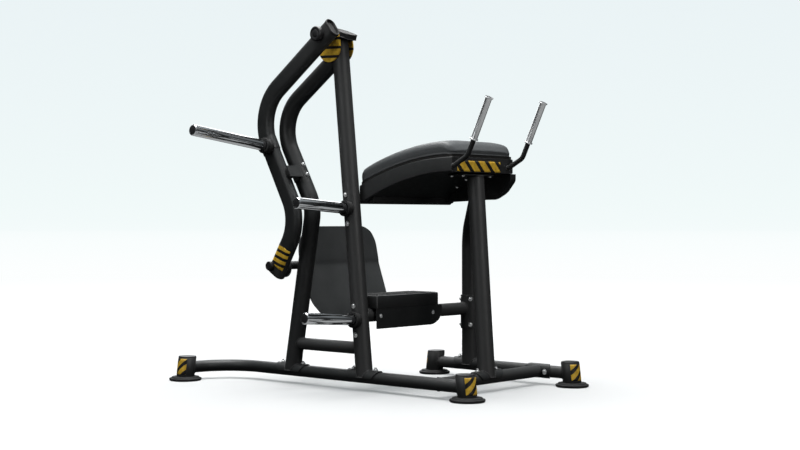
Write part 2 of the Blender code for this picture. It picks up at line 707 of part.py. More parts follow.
def storage_horns(machine):
    """Two bars on the front post for spare weight plates, each in a collar."""
    axis = Vector((0, -math.cos(STORAGE_HORN_TILT), math.sin(STORAGE_HORN_TILT)))
    for name, up in zip(("lower", "upper"), STORAGE_HORN_UPS):
        centre = front_post_axis(up)
        post = rod_cutter("cutter_post_horn_" + name, front_post_axis(up - 0.15),
                          front_post_axis(up + 0.15), POST_DIAMETER + 2 * GAP)
        horn = turned("storage_horn_" + name, centre, axis,
                      horn_profile(STORAGE_HORN_LENGTH + 0.035), "chrome", machine)
        cut(horn, post)
        collar = turned("storage_collar_" + name, centre + axis * 0.02, axis,
                        ring_profile(HORN_DIAMETER / 2 + GAP, 0.036, 0.035), "black_rubber", machine)
        cut(collar, post)


def bump_stop(machine):
    """Rubber block on a plate that is bolted to the rear post, where the arm rests."""
    down = Vector((0.477, 0, -0.879))
    forward = Vector((0.879, 0, 0.477))
    on_arm = at(-1.0, ARM_LEFT, 0.942)
    rest = on_arm + forward * (ARM_WIDTH / 2 + 2 * GAP)
    block = [rest + down * u + Y_AXIS * v for u, v in oval_section(0.056, 0.036, 6)]
    extruded("bump_stop", block, forward * 0.0195, "black_rubber", machine)
    beside = -POST_DIAMETER / 2 - 2 * GAP - ARM_LEFT
    fold = [rest - down * 0.028 + forward * u + Y_AXIS * v
            for u, v in ((0.0198, -0.02), (0.0258, -0.02), (0.0258, beside), (-0.035, beside),
                         (-0.035, beside - 0.006), (0.0198, beside - 0.006))]
    extruded("stop_bracket", fold, down * 0.056, "black_powder_coat", machine)


def swing_arm(arm):
    """The hanging arm: flat oval tube, its caps, its hub and its plate horn."""
    route = [at(forward, ARM_LEFT, up) for forward, up in ARM_ROUTE]
    path = bent(route, ARM_RADIUS, 5)
    tube = bar("swing_arm", path, oval_section(ARM_WIDTH, ARM_THICKNESS, 6), Y_AXIS,
               "black_powder_coat", arm,
               oval_section(ARM_WIDTH - 2 * WALL, ARM_THICKNESS - 2 * WALL, 6))
    for name, end, inward in (("arm_top_cap", path[0], path[1]),
                              ("arm_foot_cap", path[-1], path[-2])):
        out = (end - inward).normalized()
        across = out.cross(Y_AXIS)
        outline = [end + out * GAP + across * u + Y_AXIS * v
                   for u, v in oval_section(ARM_WIDTH - 0.002, ARM_THICKNESS - 0.002, 8)]
        cap = extruded(name, outline, out * 0.012, "black_plastic", arm)
        bevel = cap.modifiers.new("rounded_rim", "BEVEL")
        bevel.width = 0.004
        bevel.segments = 2
        bevel.angle_limit = math.radians(60)
        bevel.limit_method = "ANGLE"

    pivot = at(PIVOT[0], ARM_LEFT, PIVOT[1])
    hub_start = -(CHEEK_OUT + 0.001)
    hub_end = ARM_LEFT - ARM_THICKNESS / 2 - 0.008
    cut(tube, rod_cutter("cutter_hub", pivot - Y_AXIS * 0.1, pivot + Y_AXIS * 0.1,
                         HUB_DIAMETER + 2 * GAP))
    turned("pivot_hub", at(PIVOT[0], hub_start, PIVOT[1]), -Y_AXIS,
           ring_profile(PIVOT_SHAFT_DIAMETER / 2 + GAP, HUB_DIAMETER / 2, hub_start - hub_end),
           "black_powder_coat", arm)
    cap_radius = 0.033
    turned("pivot_cap", at(PIVOT[0], hub_end - GAP, PIVOT[1]), -Y_AXIS,
           [(cap_radius, 0), (cap_radius, 0.014), (cap_radius - 0.004, 0.019),
            (cap_radius - 0.012, 0.021)], "black_plastic", arm)

    root = at(ARM_HORN_ROOT[0], HORN_START, ARM_HORN_ROOT[1])
    axis = Vector((0, -math.cos(ARM_HORN_TILT), math.sin(ARM_HORN_TILT)))
    flat = cutter("cutter_arm_face", prism(square_about(root, X_AXIS, Z_AXIS, 0.2), Y_AXIS * 0.2))
    horn = turned("arm_horn", root - axis * 0.01, axis, horn_profile(ARM_HORN_LENGTH + 0.01),
                  "chrome", arm)
    cut(horn, flat)
    collar = turned("arm_horn_collar", root - axis * 0.01, axis,
                    ring_profile(HORN_DIAMETER / 2 + GAP, 0.036, 0.045), "black_rubber", arm)
    cut(collar, flat)

    foot_shaft = at(FOOT_PIVOT[0], ARM_LEFT, FOOT_PIVOT[1])
    cut(tube, rod_cutter("cutter_foot_shaft", foot_shaft - Y_AXIS * 0.1,
                         foot_shaft + Y_AXIS * 0.1, FOOT_SHAFT_DIAMETER + 2 * GAP))


def shafts(machine, arm):
    """Main pivot shaft in the apex and the foot plate's cross shaft in the arm."""
    start = ARM_LEFT - ARM_THICKNESS / 2 - 0.007
    turned("pivot_shaft", at(PIVOT[0], CHEEK_OUT + 0.004, PIVOT[1]), -Y_AXIS,
           [(PIVOT_SHAFT_DIAMETER / 2, 0), (PIVOT_SHAFT_DIAMETER / 2, CHEEK_OUT + 0.004 - start)],
           "zinc", machine)
    turned("pivot_washer", at(PIVOT[0], CHEEK_OUT + GAP, PIVOT[1]), Y_AXIS,
           ring_profile(PIVOT_SHAFT_DIAMETER / 2 + GAP, HUB_DIAMETER / 2, 0.003), "zinc", machine)
    cap_left = ARM_LEFT - ARM_THICKNESS / 2 - GAP
    radius = FOOT_SHAFT_DIAMETER / 2
    turned("foot_shaft", at(FOOT_PIVOT[0], 0.52, FOOT_PIVOT[1]), -Y_AXIS,
           [(radius, 0), (radius, 0.52 - cap_left)], "zinc", arm)
    turned("foot_shaft_cap", at(FOOT_PIVOT[0], cap_left - GAP, FOOT_PIVOT[1]), -Y_AXIS,
           [(0.021, 0), (0.021, 0.014), (0.018, 0.018), (0.01, 0.02)], "black_plastic", arm)


def foot_plate(foot_body):
    """Bent sheet that the kicking foot pushes, with its sleeve and ribs on the cross shaft."""
    bm = bmesh.new()
    faces = []
    for depth in (0, -PLATE_WALL):
        rows = []
        for outline, tilt, sign in ((PLATE_UPPER, PLATE_TILTS[0], -1),
                                    (PLATE_LOWER, PLATE_TILTS[1], 1)):
            rows.append([at(PLATE_FORWARD + sign * abs(up - PLATE_BEND) * math.tan(tilt) + depth,
                            left, up) for left, up in outline])
        faces.append(rows)
    rims = []
    for rows in faces:
        top = [bm.verts.new(point) for point in rows[0]]
        bottom = [top[-1]] + [bm.verts.new(point) for point in rows[1][1:-1]] + [top[0]]
        bm.faces.new(top)
        bm.faces.new(bottom)
        rims.append(top + bottom[1:-1])
    bridge(bm, *rims)
    piece("foot_plate", bm, "black_powder_coat", at(PLATE_FORWARD, 0, PLATE_BEND), foot_body)
    start = ARM_LEFT + ARM_THICKNESS / 2 + 0.001
    turned("foot_sleeve", at(FOOT_PIVOT[0], start, FOOT_PIVOT[1]), Y_AXIS,
           ring_profile(FOOT_SHAFT_DIAMETER / 2 + GAP, FOOT_SLEEVE_DIAMETER / 2, 0.515 - start),
           "black_powder_coat", foot_body)
    back = PLATE_FORWARD - PLATE_WALL - GAP
    slope = math.tan(PLATE_TILTS[1])
    hole = rod_cutter("cutter_sleeve", at(FOOT_PIVOT[0], -0.2, FOOT_PIVOT[1]),
                      at(FOOT_PIVOT[0], 0.6, FOOT_PIVOT[1]), FOOT_SLEEVE_DIAMETER + 2 * GAP)
    for name, left in (("foot_rib_right", 0.12), ("foot_rib_left", 0.46)):
        outline = [at(forward, left, up) for forward, up in (
            (back, PLATE_BEND), (back + 0.155 * slope - 0.0002, PLATE_BEND - 0.155),
            (back + 0.155 * slope - 0.02, PLATE_BEND - 0.155), (FOOT_PIVOT[0] - 0.03, 0.508),
            (FOOT_PIVOT[0] - 0.03, 0.568), (back - 0.06 * math.tan(PLATE_TILTS[0]) - 0.012, 0.613),
            (back - 0.06 * math.tan(PLATE_TILTS[0]) - 0.0002, 0.613))]
        cut(extruded(name, outline, Y_AXIS * 0.006, "black_powder_coat", foot_body), hole)


def main():
    clear_scene()
    machine = empty("machine", Vector((0, 0, 0)))
    arm = empty("arm_axis", at(PIVOT[0], ARM_LEFT, PIVOT[1]), machine)
    foot_body = empty("foot_plate_axis", at(FOOT_PIVOT[0], ARM_LEFT, FOOT_PIVOT[1]), arm)
    base_frame(machine)
    a_frame(machine)
    columns(machine)
    pad(machine)
    far_support(machine)
    step(machine)
    handles(machine)
    storage_horns(machine)
    bump_stop(machine)
    swing_arm(arm)
    shafts(machine, arm)
    foot_plate(foot_body)


main()
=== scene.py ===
"""Looks of the plate-loaded rear-kick machine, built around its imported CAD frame.

All lengths are metres. at(forward, left, up) measures from the middle of the front foot, as the
CAD does. Smooth pieces stand for the CAD's tubes, plates and pad, and the rest is detail: weld
beads, bolts, hazard stripes and a pinched seam.
"""

import json
import math

import bmesh
import bpy
from mathutils import Matrix, Vector

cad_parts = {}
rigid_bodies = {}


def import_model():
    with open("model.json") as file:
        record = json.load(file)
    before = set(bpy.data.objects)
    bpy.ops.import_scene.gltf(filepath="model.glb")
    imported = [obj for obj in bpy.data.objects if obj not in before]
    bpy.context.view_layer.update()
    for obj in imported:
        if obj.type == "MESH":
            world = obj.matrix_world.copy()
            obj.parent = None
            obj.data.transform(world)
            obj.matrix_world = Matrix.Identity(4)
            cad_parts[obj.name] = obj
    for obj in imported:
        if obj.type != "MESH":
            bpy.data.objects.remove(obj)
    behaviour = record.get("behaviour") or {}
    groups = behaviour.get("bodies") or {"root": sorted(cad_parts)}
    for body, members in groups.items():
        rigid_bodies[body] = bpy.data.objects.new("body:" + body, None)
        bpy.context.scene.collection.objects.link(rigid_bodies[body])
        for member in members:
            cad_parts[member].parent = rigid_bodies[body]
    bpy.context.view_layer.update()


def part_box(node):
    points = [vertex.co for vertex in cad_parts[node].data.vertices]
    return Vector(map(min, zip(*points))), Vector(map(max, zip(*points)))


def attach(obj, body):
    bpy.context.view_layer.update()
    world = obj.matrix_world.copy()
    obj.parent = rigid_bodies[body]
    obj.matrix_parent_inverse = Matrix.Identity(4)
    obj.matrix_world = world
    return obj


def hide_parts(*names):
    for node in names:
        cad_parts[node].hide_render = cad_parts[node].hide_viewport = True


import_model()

front_foot = (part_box("foot_pad_front")[0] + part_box("foot_pad_front")[1]) / 2
X, Y, Z = Vector((1, 0, 0)), Vector((0, 1, 0)), Vector((0, 0, 1))


def at(forward, left, up):
    return Vector((front_foot.x + forward, front_foot.y + left, up))


# ---------------------------------------------------------------- materials


class Finish:
    """A procedural material whose textures run in object coordinates, in metres."""

    def __init__(self, name, roughness=0.5, **sockets):
        self.material = bpy.data.materials.new(name)
        self.material.use_nodes = True
        tree = self.material.node_tree
        self.nodes, self.links = tree.nodes, tree.links
        self.shader = self.nodes["Principled BSDF"]
        self.shader.inputs["Roughness"].default_value = roughness
        for key, value in sockets.items():
            self.shader.inputs[key.replace("_", " ")].default_value = value
        self.place = self.node("TexCoord").outputs["Object"]

    def node(self, kind, inputs=(), **settings):
        made = self.nodes.new("ShaderNode" + kind)
        for key, value in settings.items():
            setattr(made, key, value)
        for key, value in dict(inputs).items():
            if isinstance(value, bpy.types.NodeSocket):
                self.links.new(value, made.inputs[key])
            else:
                made.inputs[key].default_value = value
        return made

    def stretched(self, scale):
        return self.node("Mapping", {"Vector": self.place, "Scale": scale}).outputs["Vector"]

    def noise(self, scale, detail=3.0, place=None):
        inputs = {"Vector": place or self.place, "Scale": scale, "Detail": detail}
        return self.node("TexNoise", inputs).outputs["Fac"]

    def cells(self, scale, feature="F1", place=None):
        inputs = {"Vector": place or self.place, "Scale": scale}
        return self.node("TexVoronoi", inputs, feature=feature).outputs["Distance"]

    def ramp(self, factor, *stops):
        """A colour ramp; each stop is (position, colour or grey)."""
        made = self.node("ValToRGB", {"Fac": factor})
        elements = made.color_ramp.elements
        while len(elements) < len(stops):
            elements.new(0.5)
        for element, (position, colour) in zip(elements, stops):
            element.position = position
            rgb = (colour,) * 3 if isinstance(colour, float) else colour
            element.color = (*rgb, 1)
        return made.outputs["Color"]

    def mix(self, factor, first, second, blend="MIX"):
        made = self.node("MixRGB", {"Fac": factor, "Color1": first, "Color2": second},
                         blend_type=blend)
        return made.outputs["Color"]

    def colour(self, socket):
        self.links.new(socket, self.shader.inputs["Base Color"])

    def roughness(self, socket):
        self.links.new(socket, self.shader.inputs["Roughness"])

    def bump(self, height, strength, distance, under=None):
        inputs = {"Height": height, "Strength": strength, "Distance": distance}
        if under:
            inputs["Normal"] = under
        made = self.node("Bump", inputs)
        self.links.new(made.outputs["Normal"], self.shader.inputs["Normal"])
        return made.outputs["Normal"]

    def edges(self, low, high):
        """White on worn outer edges, black elsewhere."""
        pointed = self.node("NewGeometry").outputs["Pointiness"]
        return self.ramp(pointed, (low, 0.0), (high, 1.0))


# light scales the base tone; above 1 it makes a lighter copy of the same coat, which is painted
# light, not a different paint.
def powder_coat(name="satin_black_powder_coat", light=1.0):
    coat = Finish(name, Specular_IOR_Level=0.42)
    patches = coat.noise(7, 5)
    base = coat.ramp(patches, (0.3, tuple(light * part for part in (0.0135, 0.0145, 0.0148))),
                     (0.72, tuple(light * part for part in (0.0205, 0.0215, 0.0218))))
    dust = coat.ramp(coat.noise(46, 6), (0.5, 0.0), (0.78, 0.22))
    dusty = coat.mix(dust, base, (0.042, 0.042, 0.041, 1))
    coat.colour(coat.mix(coat.edges(0.53, 0.6), dusty, (0.05, 0.05, 0.05, 1)))
    coat.roughness(coat.ramp(coat.noise(60, 4), (0.3, 0.4), (0.75, 0.52)))
    peel = coat.bump(coat.noise(240, 2), 0.12, 0.0006)
    coat.bump(coat.noise(1500, 2), 0.3, 0.00022, peel)
    return coat.material


def rubber():
    made = Finish("moulded_black_rubber", Specular_IOR_Level=0.35)
    made.colour(made.ramp(made.noise(30, 6), (0.3, (0.012, 0.012, 0.0125)),
                          (0.8, (0.026, 0.026, 0.026))))
    made.roughness(made.ramp(made.noise(90, 3), (0.3, 0.62), (0.8, 0.85)))
    made.bump(made.noise(900, 4), 0.35, 0.0004)
    return made.material


def plastic():
    made = Finish("grained_black_plastic", Specular_IOR_Level=0.5)
    made.colour(made.ramp(made.noise(22, 5), (0.3, (0.013, 0.013, 0.014)),
                          (0.75, (0.021, 0.021, 0.022))))
    made.roughness(made.ramp(made.noise(55, 4), (0.3, 0.3), (0.75, 0.44)))
    made.bump(made.cells(1100), 0.16, 0.0003)
    return made.material


def metal(name, dark, light, smooth, rough, grain, stretch, depth):
    """Bare or plated metal with fine lines that run across the stretched axes."""
    made = Finish(name, Metallic=1.0)
    lines = made.noise(grain, 4, made.stretched(stretch))
    haze = made.noise(18, 5)
    made.colour(made.mix(0.5, made.ramp(haze, (0.3, dark), (0.75, light)),
                         made.ramp(lines, (0.3, dark), (0.7, light))))
    made.roughness(made.mix(0.6, made.ramp(haze, (0.3, smooth), (0.8, rough)),
                            made.ramp(lines, (0.25, smooth), (0.8, rough))))
    made.bump(lines, 0.1, depth)
    return made.material


def vinyl():
    made = Finish("dark_grey_vinyl", Specular_IOR_Level=0.45, Coat_Weight=0.08,
                  Coat_Roughness=0.35)
    broad = made.noise(5, 4)
    base = made.ramp(broad, (0.3, (0.060, 0.064, 0.066)), (0.75, (0.078, 0.084, 0.087)))
    wobble = made.mix(0.02, made.place, made.node(
        "TexNoise", {"Vector": made.place, "Scale": 60.0}).outputs["Color"])
    grain = made.cells(520, "SMOOTH_F1", wobble)
    pores = made.ramp(grain, (0.25, 1.0), (0.62, 0.72))
    made.colour(made.mix(1.0, base, pores, "MULTIPLY"))
    made.roughness(made.ramp(made.noise(80, 5), (0.3, 0.44), (0.75, 0.58)))
    creases = made.bump(made.noise(26, 3), 0.1, 0.002)
    made.bump(grain, 0.32, 0.0006, creases)
    return made.material


def board():
    made = Finish("black_stained_plywood", 0.75)
    layers = made.noise(9, 3, made.stretched((1, 1, 60)))
    made.colour(made.ramp(layers, (0.3, (0.006, 0.006, 0.006)), (0.7, (0.02, 0.018, 0.016))))
    made.bump(layers, 0.4, 0.0006)
    return made.material


def film(name, dark, light):
    """Printed hazard film: even colour with a little grime and fine scratches."""
    made = Finish(name, Specular_IOR_Level=0.4)
    grime = made.noise(70, 6)
    scratches = made.noise(160, 5, made.stretched((1, 1, 7)))
    base = made.ramp(grime, (0.35, dark), (0.62, light))
    made.colour(made.mix(made.ramp(scratches, (0.62, 0.0), (0.74, 0.35)), base,
                         tuple(0.6 * part for part in dark) + (1,)))
    made.roughness(made.ramp(scratches, (0.4, 0.38), (0.8, 0.6)))
    made.bump(made.noise(1200, 2), 0.1, 0.0002)
    return made.material


FINISHES = {
    "powder_coat": powder_coat(),
    "rubber": rubber(),
    "plastic": plastic(),
    "chrome": metal("polished_chrome", (0.74, 0.75, 0.77), (0.86, 0.87, 0.88), 0.07, 0.15, 120,
                    (1, 0.05, 1), 0.000004),
    "grip_metal": metal("satin_aluminium", (0.70, 0.71, 0.72), (0.84, 0.84, 0.84), 0.28, 0.38,
                        60, (1, 1, 0.08), 0.00001),
    "zinc": metal("zinc_plate", (0.42, 0.43, 0.45), (0.68, 0.68, 0.66), 0.2, 0.42, 300,
                  (1, 1, 1), 0.00008),
    "upholstery": vinyl(),
    "board": board(),
    "hazard_paint": film("hazard_yellow", (0.62, 0.36, 0.030), (0.86, 0.54, 0.050)),
}
# A lighter copy of the same powder coat: painted light on the kick plate, standing in for the light
# its faces catch, and a painted highlight on the hood rims.
PAINTED_LIGHT_COAT = powder_coat("powder_coat_painted_light", 2.1)
FILM_BLACK = film("hazard_black", (0.008, 0.008, 0.008), (0.014, 0.014, 0.014))

# ---------------------------------------------------------------- mesh helpers


def make(name, bm, body, slot, nodes=(), sharp=32, bevel=0.0, segments=3, material=None):
    """A finished piece from a bmesh in world space; it stands for the given CAD nodes."""
    bmesh.ops.remove_doubles(bm, verts=bm.verts, dist=1e-6)
    bmesh.ops.dissolve_degenerate(bm, edges=bm.edges, dist=1e-6)
    bmesh.ops.recalc_face_normals(bm, faces=bm.faces)
    mesh = bpy.data.meshes.new(name)
    bm.to_mesh(mesh)
    bm.free()
    mesh.shade_smooth()
    made = bpy.data.objects.new(name, mesh)
    bpy.context.scene.collection.objects.link(made)
    for each in [material or FINISHES[slot]] if not isinstance(material, list) else material:
        mesh.materials.append(each)
    if bevel:
        rim = made.modifiers.new("rounded_edges", "BEVEL")
        rim.width, rim.segments = bevel, segments
        rim.limit_method, rim.angle_limit = "ANGLE", math.radians(sharp)
        rim.harden_normals = True
    else:
        mesh.set_sharp_from_angle(angle=math.radians(sharp))
    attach(made, body)
    if nodes:
        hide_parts(*nodes)
    return made


def bridge(bm, first, second, material=0):
    for index, corner in enumerate(first):
        after = (index + 1) % len(first)
        face = bm.faces.new((corner, first[after], second[after], second[index]))
        face.material_index = material


def skin(bm, rows):
    """Quads between rows of corners that all have the same length."""
    for low, high in zip(rows, rows[1:]):
        for index in range(len(low) - 1):
            bm.faces.new((low[index], low[index + 1], high[index + 1], high[index]))


def edge_loop(rows):
    """The corners round the outside of a patch of rows."""
    return (rows[0] + [row[-1] for row in rows[1:-1]] + rows[-1][::-1]
            + [row[0] for row in rows[-2:0:-1]])


def loft(bm, rings):
    """A closed bar through rings of corners, with a face at each end."""
    for first, second in zip(rings, rings[1:]):
        bridge(bm, first, second)
    bm.faces.new(rings[0])
    bm.faces.new(rings[-1])


def cut(bm, point, normal, **settings):
    bmesh.ops.bisect_plane(bm, geom=bm.verts[:] + bm.edges[:] + bm.faces[:], plane_co=point,
                           plane_no=normal, dist=1e-6, **settings)


def bent(points, radius, steps=20):
    """A path of straight runs joined by arcs."""
    path = [points[0]]
    for before, corner, after in zip(points, points[1:], points[2:]):
        into, out = (corner - before).normalized(), (after - corner).normalized()
        turn, normal = into.angle(out), into.cross(out).normalized()
        start = corner - into * radius * math.tan(turn / 2)
        centre = start + normal.cross(into) * radius
        path += [centre + Matrix.Rotation(turn * step / steps, 3, normal) @ (start - centre)
                 for step in range(steps + 1)]
    return path + [points[-1]]


def rounded(points, radius, steps=6, closed=True):
    """A 2-D line with each corner rounded off; radius is one number or one for each corner."""
    points = [Vector(point) for point in points]
    result = []
    for index, corner in enumerate(points):
        reach = radius[index] if isinstance(radius, (list, tuple)) else radius
        if reach == 0 or (not closed and index in (0, len(points) - 1)):
            result.append(tuple(corner))
            continue
        before, after = points[index - 1], points[(index + 1) % len(points)]
        reach = min(reach, (before - corner).length / 2, (after - corner).length / 2)
        start = corner + (before - corner).normalized() * reach
        end = corner + (after - corner).normalized() * reach
        for step in range(steps + 1):
            share = step / steps
            spot = start * (1 - share) ** 2 + corner * 2 * share * (1 - share) + end * share ** 2
            result.append(tuple(spot))
    return result


def circle(diameter, sides=48):
    turns = [2 * math.pi * step / sides for step in range(sides)]
    return [(diameter / 2 * math.cos(turn), diameter / 2 * math.sin(turn)) for turn in turns]


def oval(width, thickness, sides=20):
    points = []
    for centre, start in (((width - thickness) / 2, -math.pi / 2),
                          (-(width - thickness) / 2, math.pi / 2)):
        for step in range(sides + 1):
            turn = start + math.pi * step / sides
            points.append((centre + thickness / 2 * math.cos(turn), thickness / 2 * math.sin(turn)))
    return points


def sweep(bm, path, section, side):
    """A closed bar: the section carried along a path that lies square to side."""
    rings = []
    for index, point in enumerate(path):
        runs = [(path[i + 1] - path[i]).normalized() for i in (index - 1, index)
                if 0 <= i < len(path) - 1]
        tangent = sum(runs, Vector()).normalized()
        across = tangent.cross(side).normalized()
        square = across.cross(tangent).normalized()
        rings.append([bm.verts.new(point + across * u + square * v) for u, v in section])
    loft(bm, rings)
    return rings


def revolve(bm, base, axis, profile, sides=48, hexagonal=()):
    """A turned solid; profile is (radius, height) pairs, closed if it returns to its start."""
    axis = axis.normalized()
    across = axis.orthogonal().normalized()
    over = axis.cross(across)
    bored = profile[0] == profile[-1]
    rings = []
    for index, (radius, height) in enumerate(profile[:-1] if bored else profile):
        ring = []
        for step in range(sides):
            turn = 2 * math.pi * step / sides
            reach = radius
            if index in hexagonal:
                reach *= math.cos(math.pi / 6) / math.cos(turn % (math.pi / 3) - math.pi / 6)
            ring.append(bm.verts.new(base + axis * height
                                     + (across * math.cos(turn) + over * math.sin(turn)) * reach))
        rings.append(ring)
    for first, second in zip(rings, rings[1:]):
        bridge(bm, first, second)
    if bored:
        bridge(bm, rings[-1], rings[0])
    else:
        bm.faces.new(rings[0])
        bm.faces.new(rings[-1])


def prism(bm, outline, push):
    near = [bm.verts.new(point) for point in outline]
    away = [bm.verts.new(point + push) for point in outline]
    bm.faces.new(near)
    bm.faces.new(away)
    bridge(bm, near, away)


def cylinder_hit(centre, axis, radius):
    """How far a line from a point runs before it meets a cylinder."""
    axis = axis.normalized()

    def hit(point, along):
        gap = point - centre
        gap -= axis * gap.dot(axis)
        run = along - axis * along.dot(axis)
        square, half = run.dot(run), gap.dot(run)
        inside = max(0.0, half * half - square * (gap.dot(gap) - radius * radius))
        return (-half - math.sqrt(inside)) / square
    return hit


def plane_hit(centre, normal):
    return lambda point, along: (centre - point).dot(normal) / along.dot(normal)


def weld(bm, start, towards, radius, hit, bead=0.0032, stops=120):
    """A rippled bead where a round bar that runs from start meets another surface."""
    along = towards.normalized()
    across = along.orthogonal().normalized()
    over = along.cross(across)
    line = []
    for step in range(stops):
        turn = 2 * math.pi * step / stops
        out = across * math.cos(turn) + over * math.sin(turn)
        spot = start + out * radius
        line.append((spot + along * hit(spot, along), out))
    rings = []
    for step, (spot, out) in enumerate(line):
        tangent = (line[(step + 1) % stops][0] - line[step - 1][0]).normalized()
        over_bead = tangent.cross(out).normalized()
        size = bead * (1 + 0.16 * math.sin(step * 2.1))
        rings.append([bm.verts.new(spot + (out * math.cos(k * math.pi / 4)
                                           + over_bead * math.sin(k * math.pi / 4)) * size)
                      for k in range(8)])
    for first, second in zip(rings, rings[1:] + rings[:1]):
        bridge(bm, first, second)


def bolt(bm, place, axis, size=0.0075, washer=True):
    """A domed socket-head bolt on a flat washer."""
    height = 0.0
    if washer:
        height = size * 0.22
        revolve(bm, place, axis, rounded([(size * 0.2, 0), (size * 1.35, 0),
                                          (size * 1.35, height), (size * 0.2, height)],
                                         size * 0.06, 2, False), 28)
    base = place + axis.normalized() * height
    dome = [(size, 0), (size, size * 0.16), (size * 0.9, size * 0.42), (size * 0.7, size * 0.58),
            (size * 0.5, size * 0.63), (size * 0.46, size * 0.6), (size * 0.44, size * 0.28),
            (size * 0.1, size * 0.24)]
    revolve(bm, base, axis, dome, 24, (5, 6))


def fan(count, low, high):
    return [low + (high - low) * step / (count - 1) for step in range(count)]

# ---------------------------------------------------------------- camera, light and floor


camera = bpy.data.objects.new("camera", bpy.data.cameras.new("camera"))
bpy.context.scene.collection.objects.link(camera)
camera.location = (4.419, -4.7055, 0.758)
camera.rotation_euler = Vector((-0.663, 0.749, 0)).to_track_quat("-Z", "Y").to_euler()
camera.data.lens = 63.8
camera.data.sensor_width = 36
camera.data.shift_y = -0.0075
camera.data.clip_end = 500
bpy.context.scene.camera = camera


def softbox(name, place, target, width, height, power, tint=(1, 1, 1)):
    data = bpy.data.lights.new(name, "AREA")
    data.shape, data.size, data.size_y = "RECTANGLE", width, height
    data.energy, data.color = power, tint
    made = bpy.data.objects.new(name, data)
    bpy.context.scene.collection.objects.link(made)
    made.location = place
    made.rotation_euler = (Vector(target) - Vector(place)).to_track_quat("-Z", "Y").to_euler()
    return made


softbox("light_overhead", (-0.3, 0.1, 4.2), (0, 0, 0), 3.4, 3.4, 340, (1.0, 1.0, 1.0))
softbox("light_camera_left", (0.2, -5.2, 2.6), (0, 0, 0.8), 2.6, 2.6, 44, (0.97, 0.99, 1.0))
softbox("light_camera_right", (5.2, -0.6, 2.2), (0, 0, 0.8), 1.6, 2.6, 44, (1.0, 0.98, 0.97))
softbox("light_behind", (-4.2, 3.6, 2.8), (0, 0, 0.8), 3.0, 2.4, 70, (0.97, 0.99, 1.0))
below = softbox("light_floor_glow", (0.6, -1.2, 0.004), (0.6, -1.2, 2), 7, 7, 55, (0.98, 1, 1))

world = bpy.data.worlds.new("studio")
bpy.context.scene.world = world
world.use_nodes = True
sky, wires = world.node_tree.nodes, world.node_tree.links
split = sky.new("ShaderNodeSeparateXYZ")
wires.new(sky.new("ShaderNodeTexCoord").outputs["Generated"], split.inputs["Vector"])
upward = sky.new("ShaderNodeMapRange")
upward.inputs["From Min"].default_value, upward.inputs["From Max"].default_value = 0.08, 0.8
upward.inputs["To Min"].default_value, upward.inputs["To Max"].default_value = 0.02, 0.42
wires.new(split.outputs["Z"], upward.inputs["Value"])
wires.new(upward.outputs["Result"], sky["Background"].inputs["Strength"])
sky["Background"].inputs["Color"].default_value = (0.90, 0.97, 1.0, 1)
bpy.context.scene.view_settings.view_transform = "Standard"


def studio():
    """Floor and backdrop in one sweep, from white underfoot to pale blue far off."""
    bm = bmesh.new()
    profile = [(reach, 0.0) for reach in (1, 4, 8, 16, 40, 90)]
    profile += [(90 + 60 * math.sin(turn), 60 - 60 * math.cos(turn)) for turn in
                fan(16, 0.05, math.pi / 2)]
    profile.append((150, 140))
    revolve(bm, Vector((0, 0, 0)), Z, profile, 96)
    bm.faces.ensure_lookup_table()
    bmesh.ops.delete(bm, geom=[bm.faces[-1]], context="FACES_ONLY")
    bmesh.ops.recalc_face_normals(bm, faces=bm.faces)
    mesh = bpy.data.meshes.new("studio_sweep")
    bm.to_mesh(mesh)
    bm.free()
    mesh.shade_smooth()
    made = bpy.data.objects.new("studio_sweep", mesh)
    bpy.context.scene.collection.objects.link(made)
    look_of = bpy.data.materials.new("studio_white")
    look_of.use_nodes = True
    nodes, links = look_of.node_tree.nodes, look_of.node_tree.links
    nodes.clear()
    place = nodes.new("ShaderNodeTexCoord").outputs["Object"]
    away = nodes.new("ShaderNodeVectorMath")
    away.operation = "LENGTH"
    links.new(place, away.inputs[0])
    scale = nodes.new("ShaderNodeMapRange")
    scale.inputs["From Max"].default_value = 150
    links.new(away.outputs["Value"], scale.inputs["Value"])

    def ramp(*stops):
        made = nodes.new("ShaderNodeValToRGB")
        while len(made.color_ramp.elements) < len(stops):
            made.color_ramp.elements.new(0.5)
        for element, (position, colour) in zip(made.color_ramp.elements, stops):
            element.position, element.color = position, (*colour, 1)
        links.new(scale.outputs["Result"], made.inputs["Fac"])
        return made.outputs["Color"]

    glow = nodes.new("ShaderNodeEmission")
    links.new(ramp((0.0, (0.16, 0.175, 0.18)), (0.01, (0.36, 0.37, 0.37)),
                   (0.02, (0.68, 0.69, 0.69)),
                   (0.045, (0.95, 0.95, 0.95)), (0.08, (0.98, 0.996, 0.996)),
                   (0.187, (0.956, 0.991, 0.991)), (0.553, (0.922, 0.973, 0.973)),
                   (0.709, (0.879, 0.950, 0.948)), (0.94, (0.825, 0.896, 0.915))),
              glow.inputs["Color"])
    matt = nodes.new("ShaderNodeBsdfDiffuse")
    links.new(ramp((0.0, (0.41, 0.41, 0.41)), (0.045, (0.3, 0.3, 0.3)), (0.08, (0, 0, 0))),
              matt.inputs["Color"])
    both = nodes.new("ShaderNodeAddShader")
    links.new(glow.outputs["Emission"], both.inputs[0])
    links.new(matt.outputs["BSDF"], both.inputs[1])
    links.new(both.outputs["Shader"], nodes.new("ShaderNodeOutputMaterial").inputs["Surface"])
    mesh.materials.append(look_of)
    made.visible_diffuse = made.visible_glossy = False
    made.visible_transmission = False


studio()

# ---------------------------------------------------------------- frame tubes, feet and saddles

RAIL_UP, RAIL, POST = 0.0605, 0.055, 0.076
SADDLE_OUT = RAIL / 2 + 0.0056
ARM_LEFT, ARM_WIDTH, ARM_THICK = -0.1, 0.09, 0.05
FRONT, RIGHT, LEFT, FAR = (0, 0), (0.02, 0.73), (-1.49, -0.26), (-0.81, 0.75)
TAIL = Vector((-0.038, -0.26, 0))
bead = bmesh.new()
bolts = bmesh.new()


